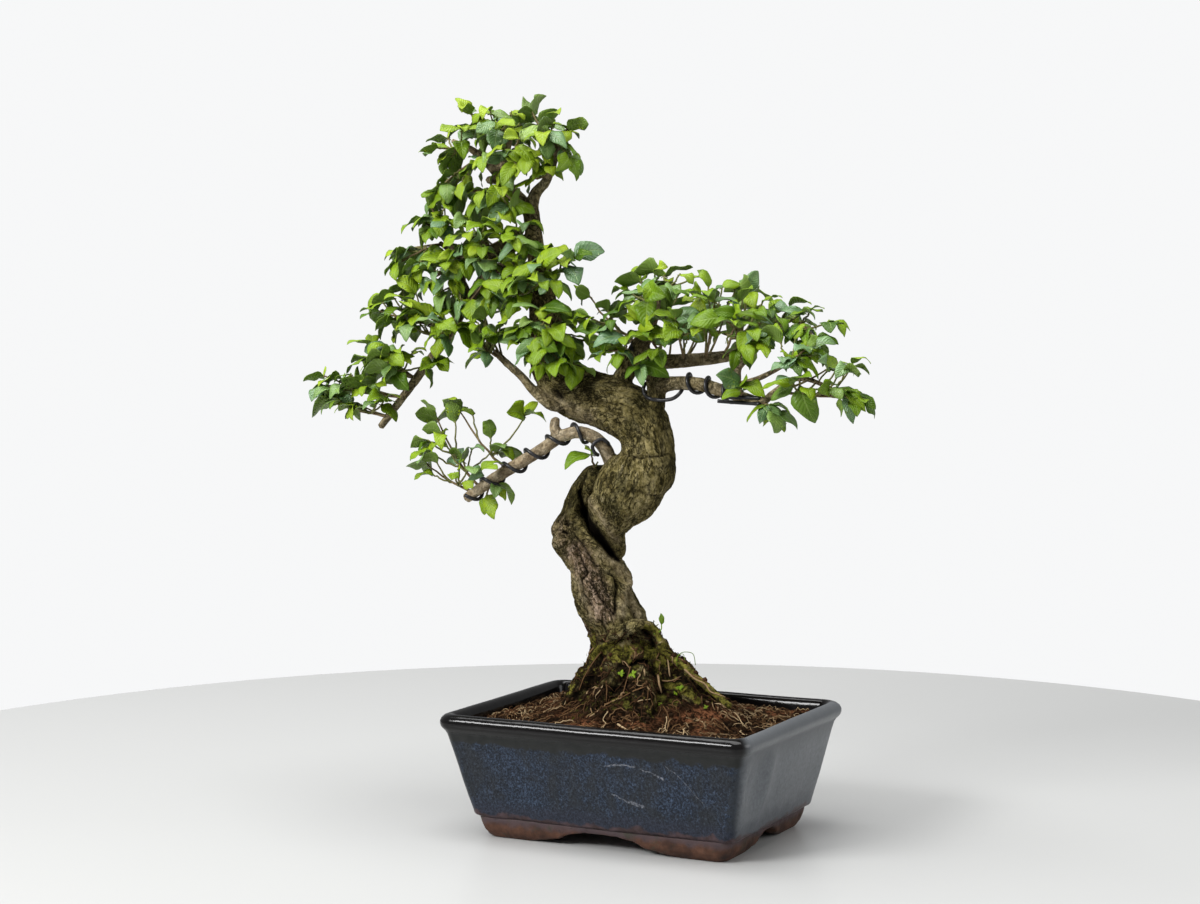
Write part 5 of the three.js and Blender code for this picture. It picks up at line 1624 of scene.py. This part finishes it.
FOOT_ROWS = [(0, -4.5, 9), (2.5, -2.4, 9), (6, -0.2, 8.5), (12, 1.6, 8), (FOOT_TOP, 3, 8)]
foot_rings = [level_ring(height, FOOT_X + grown, FOOT_Y + min(grown, grown / 2), radius)
              for height, grown, radius in FOOT_ROWS]
inner = rounded_ring(FOOT_X - FOOT_WALL, FOOT_Y - FOOT_WALL, 6)
recess = prism([tuple(point) for point in inner], -3, RECESS_HEIGHT, (0, 1, 2))
long_arch = prism(arch_outline(1.0), -120, 120, (0, 2, 1))
short_arch = prism(arch_outline(0.5), -150, 150, (1, 2, 0))
cutters = [recess, long_arch, short_arch]
foot = cut(solid(np.vstack(foot_rings), closed_skin(foot_rings)), cutters + drains())
foot_points, _, foot_faces = arrays_of(foot)
foot_soup = Soup()
foot_soup.add(foot_points, foot_faces)
points, normals, faces = remeshed(foot_soup, 1.3, 3)
uneven = 0.45 * bumps(points, 12, 1.0, 3) + 0.2 * bumps(points, 4, 6.0, 2)
uneven *= smooth_step(0.2, 1.6, points[:, 2])
points = points + normals * uneven[:, None]
points[:, 2] = np.maximum(points[:, 2], 0)
foot_skin = Soup()
foot_skin.add(points, faces)
foot_skin.make("pot_foot", TERRACOTTA, "pot_glaze")
for node in ("drain_mesh_left", "drain_mesh_right"):
    grid = frame["nodes"][node].data
    grid.materials.clear()
    grid.materials.append(PLASTIC)


# Soil: a rough skin that fills the pot and rises to the root mound, with its fibres, crumbs, moss and roots

MOUND_HEIGHT, MOUND_RADIUS = 45.0, 54.0
SLOPE_PLACE, SLOPE_HEIGHT, SLOPE_REACH = (64.0, -20.0), 9.0, 27.0
SOIL_BOTTOM, SOIL_EDGE = 27.6, 89.0
# Half the soil's length and depth where it meets the pot's wall
SOIL_X, SOIL_Y = 121.0, 86.6


def from_trunk(x, y):
    """How far a place is from the middle of the roots."""
    return np.hypot(x - ROOT_ORIGIN[0], y - ROOT_ORIGIN[1])


def round_trunk(angle, away):
    """The place at this angle and distance about the middle of the roots."""
    return ROOT_ORIGIN[0] + away * math.cos(angle), ROOT_ORIGIN[1] + away * math.sin(angle)


def soil_height(x, y):
    mound = MOUND_HEIGHT * np.exp(-((from_trunk(x, y) / MOUND_RADIUS) ** 2))
    away = np.hypot(x - SLOPE_PLACE[0], y - SLOPE_PLACE[1])
    mound += SLOPE_HEIGHT * np.exp(-((away / SLOPE_REACH) ** 2))
    waves = 1.3 * np.sin(x / 11 + 1) * np.cos(y / 9) + 0.8 * np.sin(x / 5.5 - y / 7)
    return SOIL_LEVEL + mound + waves


soil_rings = [level_ring(SOIL_BOTTOM, 107.6, 70.2, 6) + POT_MIDDLE,
              level_ring(SOIL_EDGE - 2, SOIL_X, SOIL_Y, 7.5) + POT_MIDDLE]
edge = soil_rings[1][:, :2]
for share in np.linspace(1, 0.02, 78):
    flat = ROOT_ORIGIN[:2] + (edge - ROOT_ORIGIN[:2]) * share
    lift = soil_height(flat[:, 0], flat[:, 1])
    lift = lerp(SOIL_EDGE, lift, smooth_step(1.0, 0.93, share))
    soil_rings.append(np.column_stack([flat, lift]))
soil_points = np.vstack(soil_rings)
top = np.arange(len(soil_points)) >= 2 * len(edge)
crumbly = 1.1 * bumps(soil_points, 4.2, 2.0, 4) + 1.2 * bumps(soil_points, 13, 5.0, 2)
away_from_trunk = from_trunk(soil_points[:, 0], soil_points[:, 1])
crumbly += 2.2 * smooth_step(75, 35, away_from_trunk) * bumps(soil_points, 9, 9.0, 3)
inside = smooth_step(0, 4, SOIL_X - np.abs(soil_points[:, 0] - POT_X))
inside *= smooth_step(0, 4, SOIL_Y - np.abs(soil_points[:, 1]))
soil_points[:, 2] += crumbly * top * lerp(0.25, 1.0, inside)
soil_faces = closed_skin(soil_rings)
near_mound = smooth_step(92, 42, away_from_trunk) * top
soil = Soup()
ruddy = smooth_step(-0.2, 0.5, bumps(soil_points, 26, 3.0, 2)) * smooth_step(52, 82, away_from_trunk)
soil.add(soil_points, soil_faces, moss=near_mound, tone=ruddy)
soil.make("soil_skin", SOIL, "soil", "soil")
SOIL_BVH = bvh_of(soil_points, soil_faces)


def on_ground(x, y):
    """The highest soil or root surface under a place, with its normal, or None outside the pot."""
    hit, normal, _, _ = SOIL_BVH.ray_cast(Vector((x, y, 200)), Vector((0, 0, -1)))
    if hit is None or hit.z < 80:
        return None
    bark, bark_normal, _, _ = TREE_BVH.ray_cast(Vector((x, y, 158)), Vector((0, 0, -1)))
    if bark is not None and bark.z > hit.z:
        hit, normal = bark, bark_normal
    return np.array(hit), np.array(normal)


def in_pot(x, y):
    return abs(x - POT_X) < SOIL_X - 3 and abs(y) < SOIL_Y - 3


def anywhere(draw):
    """A random place on the soil."""
    return POT_X + draw.uniform(-117, 117), draw.uniform(-83, 83)


def crawl(draw, x, y, heading, length, step, lift, wander):
    """A line that follows the ground from a place, turning a little at each step, with buried ends."""
    line = []
    for index in range(int(length / step)):
        if not in_pot(x, y):
            break
        ground = on_ground(x, y)
        if ground is None or (line and abs(ground[0][2] - line[-1][2]) > 5):
            break
        line.append(ground[0] + UP * (lift + 0.5 * lift * math.sin(index * 1.3 + x)))
        heading += draw.gauss(0, wander)
        x += step * math.cos(heading)
        y += step * math.sin(heading)
    if len(line) > 2:
        line[0] = line[0] - UP * (lift + 0.5)
        line[-1] = line[-1] - UP * (lift + 0.5)
    return line


def on_view(pixel):
    """The nearest bark or soil behind a pixel of the photograph, with its normal, or None."""
    found = None
    for bvh in (TREE_BVH, SOIL_BVH):
        hit, normal, _, away = bvh.ray_cast(Vector(EYE), Vector(view_ray(pixel)))
        if hit is not None and (found is None or away < found[2]):
            found = np.array(hit), np.array(normal), away
    return found


TRACE_STEP = 2.0


def traced(line, lift):
    """A line of pixels laid on whatever shows behind it: it stands lift clear and dips in at its ends."""
    line = np.asarray(line, float)
    lengths = np.concatenate([[0], np.cumsum(np.linalg.norm(np.diff(line, axis=0), axis=1))])
    places = np.linspace(0, lengths[-1], max(int(lengths[-1] / TRACE_STEP), 3) + 1)
    found = []
    for place in places:
        pixel = (np.interp(place, lengths, line[:, 0]), np.interp(place, lengths, line[:, 1]))
        ground = on_view(pixel)
        if ground is not None and (not found or np.linalg.norm(ground[0] - found[-1]) < 14):
            found.append(ground[0] + ground[1] * lift)
    if len(found) < 3:
        return []
    found = np.array(found)
    for _ in range(2):
        found[1:-1] = 0.25 * found[:-2] + 0.5 * found[1:-1] + 0.25 * found[2:]
    away = unit(EYE - found[0])
    found[0] -= away * (lift + 0.8)
    found[-1] -= away * (lift + 0.8)
    return found


def creep(draw, place, normal, heading, length, step, lift, wander):
    """A line that creeps over bark and soil, however steep, from a place on them."""
    line = []
    for index in range(int(length / step)):
        line.append(place + normal * (lift + 0.4 * lift * math.sin(index * 1.7 + place[0])))
        turned = heading + wander * np.array([draw.gauss(0, 1) for _ in range(3)])
        heading = unit(turned - normal * (turned @ normal))
        found = [bvh.find_nearest(Vector(place + heading * step)) for bvh in (TREE_BVH, SOIL_BVH)]
        hit, facing_out, _, _ = min(found, key=lambda nearest: nearest[3])
        place, normal = np.array(hit), np.array(facing_out)
        if place[2] < 86 or not in_pot(*place[:2]):
            break
    if len(line) > 2:
        line[0], line[-1] = line[0] - normal * lift * 2, line[-1] - normal * lift * 2
    return line


MOUND_FIBRES, SOIL_FIBRES, FINE_ROOTS, CRUMBS = 900, 1700, 90, 900
draw = random.Random(41)
fibres = Soup()
mound_points = np.nonzero((trunk_points[:, 2] > 92) & (trunk_points[:, 2] < 166))[0]
for index in draw.sample(list(mound_points), MOUND_FIBRES):
    heading = np.array([draw.gauss(0, 1), draw.gauss(0, 1), draw.gauss(-0.4, 0.8)])
    normal = trunk_normals[index]
    heading = unit(heading - normal * (heading @ normal))
    line = creep(draw, trunk_points[index], normal, heading, draw.uniform(6, 20), 2.2, 0.5,
                 draw.uniform(0.2, 0.7))
    if len(line) > 3:
        radius = draw.choice((0.2, 0.26, 0.34, 0.45))
        fibres.add(*tube(line, radius, 4, 0.5), tone=drawn_share(draw, 0.23, 0.27))
for index in range(SOIL_FIBRES):
    x, y = anywhere(draw)
    away = from_trunk(x, y)
    if draw.random() < 0.6 * smooth_step(68, 44, away):
        continue
    line = crawl(draw, x, y, draw.uniform(0, 6.3), draw.uniform(7, 24), 2.4, draw.uniform(0.3, 2.2), 0.45)
    if len(line) < 4:
        continue
    radius = draw.choice((0.18, 0.24, 0.3, 0.42))
    pale_share = 0.3 + 0.36 * smooth_step(50, 90, away)
    fibres.add(*tube(line, radius, 4, 0.5), tone=drawn_share(draw, pale_share, 0.26))
fibres.make("soil_fibres", FIBRE, "soil")

surface_roots = Soup()
for index in range(FINE_ROOTS):
    angle, away = draw.uniform(0, 2 * math.pi), draw.uniform(22, 62)
    ground = on_ground(*round_trunk(angle, away))
    if ground is None:
        continue
    heading = np.array([math.cos(angle) + draw.gauss(0, 0.8), math.sin(angle) + draw.gauss(0, 0.8), -0.5])
    heading = unit(heading - ground[1] * (heading @ ground[1]))
    line = creep(draw, *ground, heading, draw.uniform(12, 36), 2.4, 0.5, draw.uniform(0.32, 0.65))
    if len(line) > 3:
        line = Curve(np.array(line), 2).samples
        thickness = draw.uniform(0.4, 0.85)
        surface_roots.add(*tube(line, np.linspace(thickness, thickness * 0.4, len(line)), 7, 0.6),
                          tone=drawn_share(draw, 0.55, 0.25))
# Roots that the photograph shows: pixels, radius and tone
SEEN_ROOTS = [
    ([(685, 669), (695, 679), (705.5, 684), (710.5, 692), (723.5, 697), (733.5, 702), (742, 702)],
     0.75, 0.85),
    ([(690, 674), (704, 681), (716, 688), (730, 693)], 0.6, 0.7),
    ([(657.6, 676), (659, 684), (661.5, 694)], 1.0, 0.85),
    ([(647, 686), (638, 689.5), (626.5, 694.5), (620, 699)], 0.6, 0.75),
    ([(646.5, 686.5), (650, 691), (654.5, 694.5), (656, 704)], 0.6, 0.85),
    ([(633, 646), (636, 651), (637, 657), (633, 662)], 0.6, 0.6),
    ([(662, 681), (672, 681), (681, 676.5)], 0.6, 0.8),
    ([(606, 680), (607, 690), (606, 703)], 0.5, 0.6),
    ([(660, 703), (666, 710), (669, 718), (669, 729)], 0.5, 0.6),
    ([(618, 725), (624, 729), (629, 731)], 0.9, 1.0),
    ([(590, 717), (597, 713), (599, 710)], 0.6, 0.9),
    ([(556, 714), (568, 708), (578, 702)], 0.7, 0.25),
    ([(594, 648), (587, 657), (580, 668), (574, 680), (571, 690)], 0.8, 0.8),
    ([(602, 651), (592, 664), (584, 677), (579, 691)], 0.6, 0.7),
]
for line, thickness, tone in SEEN_ROOTS:
    found = traced(line, thickness * 0.7)
    if len(found):
        thinning = np.linspace(thickness, thickness * 0.6, len(found))
        surface_roots.add(*tube(found, thinning, 8, 0.6), tone=tone)
# Two that bridge a hollow
for start, end in (((668, 659.7), (670, 678)), ((644, 668), (645, 677))):
    top_end, low_end = on_view(start), on_view(end)
    if top_end and low_end:
        hang = lerp(top_end[0], low_end[0], 0.5) - FORWARD * 1.5
        line = Curve([top_end[0] + FORWARD, hang, low_end[0] + FORWARD], 5).samples
        surface_roots.add(*tube(line, 0.6, 7, 0.6), tone=0.9)
surface_roots.make("surface_roots", FIBRE, "bark")


def crumb(centre, size, draw):
    """A small rounded lump with uneven sides."""
    golden = (1 + 5 ** 0.5) / 2
    corners = np.array([(-1, golden, 0), (1, golden, 0), (-1, -golden, 0), (1, -golden, 0), (0, -1, golden),
                        (0, 1, golden), (0, -1, -golden), (0, 1, -golden), (golden, 0, -1), (golden, 0, 1),
                        (-golden, 0, -1), (-golden, 0, 1)]) / 1.9
    faces = [(0, 11, 5), (0, 5, 1), (0, 1, 7), (0, 7, 10), (0, 10, 11), (1, 5, 9), (5, 11, 4), (11, 10, 2),
             (10, 7, 6), (7, 1, 8), (3, 9, 4), (3, 4, 2), (3, 2, 6), (3, 6, 8), (3, 8, 9), (4, 9, 5),
             (2, 4, 11), (6, 2, 10), (8, 6, 7), (9, 8, 1)]
    scale = np.array([draw.uniform(0.7, 1.25) for _ in range(3)]) * size
    rough = 1 + 0.22 * np.array([draw.uniform(-1, 1) for _ in corners])
    return centre + corners * rough[:, None] * scale, faces


crumbs = Soup()
for index in range(CRUMBS):
    x, y = anywhere(draw)
    ground = on_ground(x, y)
    if ground is None or not in_pot(x, y):
        continue
    size = draw.choice((0.8, 1.0, 1.3, 1.9))
    crumbs.add(*crumb(ground[0] + UP * size * 0.25, size, draw), tone=drawn_share(draw, 0.16, 0.18))
crumbs.make("soil_crumbs", FIBRE, "soil")


def tuft_blade(base, lean, height, width):
    """One moss blade: a slender three-sided spike."""
    sideways = unit(np.cross(lean, np.array([0.3, 0.5, 0.8])) + 1e-6)
    other = unit(np.cross(lean, sideways))
    ring = [base + width * (math.cos(angle) * sideways + math.sin(angle) * other) for angle in (0, 2.1, 4.2)]
    tip = base + lean * height
    return np.array([*ring, tip]), [(0, 1, 3), (1, 2, 3), (2, 0, 3), (2, 1, 0)]


# Places tried for moss on soil and on bark, the most tufts, and the blades of each
SOIL_TRIES, BARK_TRIES, TUFTS, TUFT_BLADES = 1300, 9000, 4200, 3
moss_draw = random.Random(57)
moss_soup = Soup()
places, bright = [], set()
for index in range(SOIL_TRIES):
    angle, away = moss_draw.uniform(0, 2 * math.pi), 26 + 62 * moss_draw.random() ** 1.3
    x, y = round_trunk(angle, away)
    if not in_pot(x, y):
        continue
    ground = on_ground(x, y)
    if ground is not None and noise.noise(Vector((x / 9, y / 9, 4.0))) > 0.16 + away / 260:
        places.append(ground)
for index in moss_draw.sample(range(len(trunk_points)), min(BARK_TRIES, len(trunk_points))):
    place = trunk_points[index]
    if place[2] < 88 or place[2] > 172 or place[2] > moss_draw.uniform(95, 178):
        continue
    if noise.noise(Vector(place / 10)) > 0.44 or mossy[index] > moss_draw.uniform(0.15, 0.9):
        places.append((place, trunk_normals[index]))
        if mossy[index] > 0.5:
            bright.add(len(places) - 1)
for index in moss_draw.sample(range(len(places)), min(TUFTS, len(places))):
    place, normal = places[index]
    lump = noise.noise(Vector(place / 7)) * 0.5 + (0.9 if index in bright else 0.35)
    for _ in range(TUFT_BLADES):
        lean = unit(normal * 0.9 + UP * 0.6 + np.array([moss_draw.gauss(0, 0.45) for _ in range(3)]))
        shift = np.array([moss_draw.gauss(0, 0.7) for _ in range(3)])
        height = moss_draw.uniform(1.0, 2.7)
        tone = drawn_share(moss_draw, 0.25 + 0.45 * lump, 0.16)
        foot_of_blade = place + shift - normal * 0.7
        moss_soup.add(*tuft_blade(foot_of_blade, lean, height + 0.7, moss_draw.uniform(0.28, 0.5)), tone=tone)
moss_soup.make("moss", MOSS, "soil")


# Seedlings in the moss, a root sucker with one round leaf, and bent blades of grass

plants = Soup()
plant_draw = random.Random(83)


def small_leaf(base, along, normal, length, tone):
    """A leaf of the leaf's own form, made small."""
    along = unit(along)
    normal = unit(normal - along * (normal @ along))
    add_blade(plants, leaf_points((base, along, normal, length), plant_draw), tone)


def stem(line, thickness, tone):
    plants.add(*tube(line, thickness, 6, 0.6), tone=tone, along=0.5, across=0.5, under=0, wax=0)


SEEDLINGS = [((622, 677), 4.2), ((633.5, 677), 4.0), ((680.5, 690.7), 3.6), ((676, 695), 2.8),
             ((552, 693), 3.6), ((660, 706), 2.2), ((706, 709), 2.4)]
for pixel, size in SEEDLINGS:
    ground = on_view(pixel)
    if ground is None:
        continue
    upright = unit(UP + 0.5 * ground[1])
    head = ground[0] + upright * size * 0.6
    stem([ground[0] - upright, ground[0] + upright * size * 0.3, head], 0.3, 0.7)
    open_to = unit(0.75 * UP - 0.75 * FORWARD + 0.3 * ground[1])
    level = unit(np.cross(UP, open_to))
    for turn in range(4):
        angle = turn * 1.57 + pixel[0] + plant_draw.uniform(-0.5, 0.5)
        flat = math.cos(angle) * level + math.sin(angle) * np.cross(open_to, level)
        lifted = plant_draw.uniform(0.1, 0.9)
        small_leaf(head, flat + lifted * open_to, open_to, size * plant_draw.uniform(0.7, 1.1),
                   plant_draw.uniform(0.5, 0.72))

sucker = on_view((655, 634))
if sucker:
    foot_place = sucker[0]
    bend = foot_place + 5 * RIGHT + 4 * UP
    top_place = foot_place + 5.2 * RIGHT + 7.5 * UP
    stem(Curve([foot_place - RIGHT, foot_place + 2.5 * RIGHT + UP, bend, top_place], 5).samples, 0.5, 0.45)
    small_leaf(top_place, UP + 0.05 * RIGHT, -FORWARD + 0.3 * RIGHT, 9.0, 0.36)

for line, thickness in (([(677, 658), (681, 653), (687, 652), (693, 654), (695.5, 665)], 0.28),
                        ([(678, 656), (683, 654), (685, 662)], 0.24)):
    root_place = on_view((677, 664))
    if root_place:
        depth = (root_place[0] - EYE) @ FORWARD
        rows = [EYE + view_ray(pixel) * depth / (view_ray(pixel) @ FORWARD) for pixel in line]
        rows.insert(0, root_place[0] - 1.5 * UP)
        stem(Curve(rows, 5).samples, thickness, 0.35)
for pixel, height in (((716.7, 684), 7.0), ((722, 686), 9.0), ((703, 676), 4.0)):
    ground = on_view(pixel)
    if ground:
        lean = 0.6 * RIGHT
        rows = [ground[0] - UP, ground[0] + UP * height * 0.5, ground[0] + UP * height + lean]
        stem(Curve(rows, 4).samples, 0.22, 0.3)
plants.make("seedlings", LEAF, "leaf")
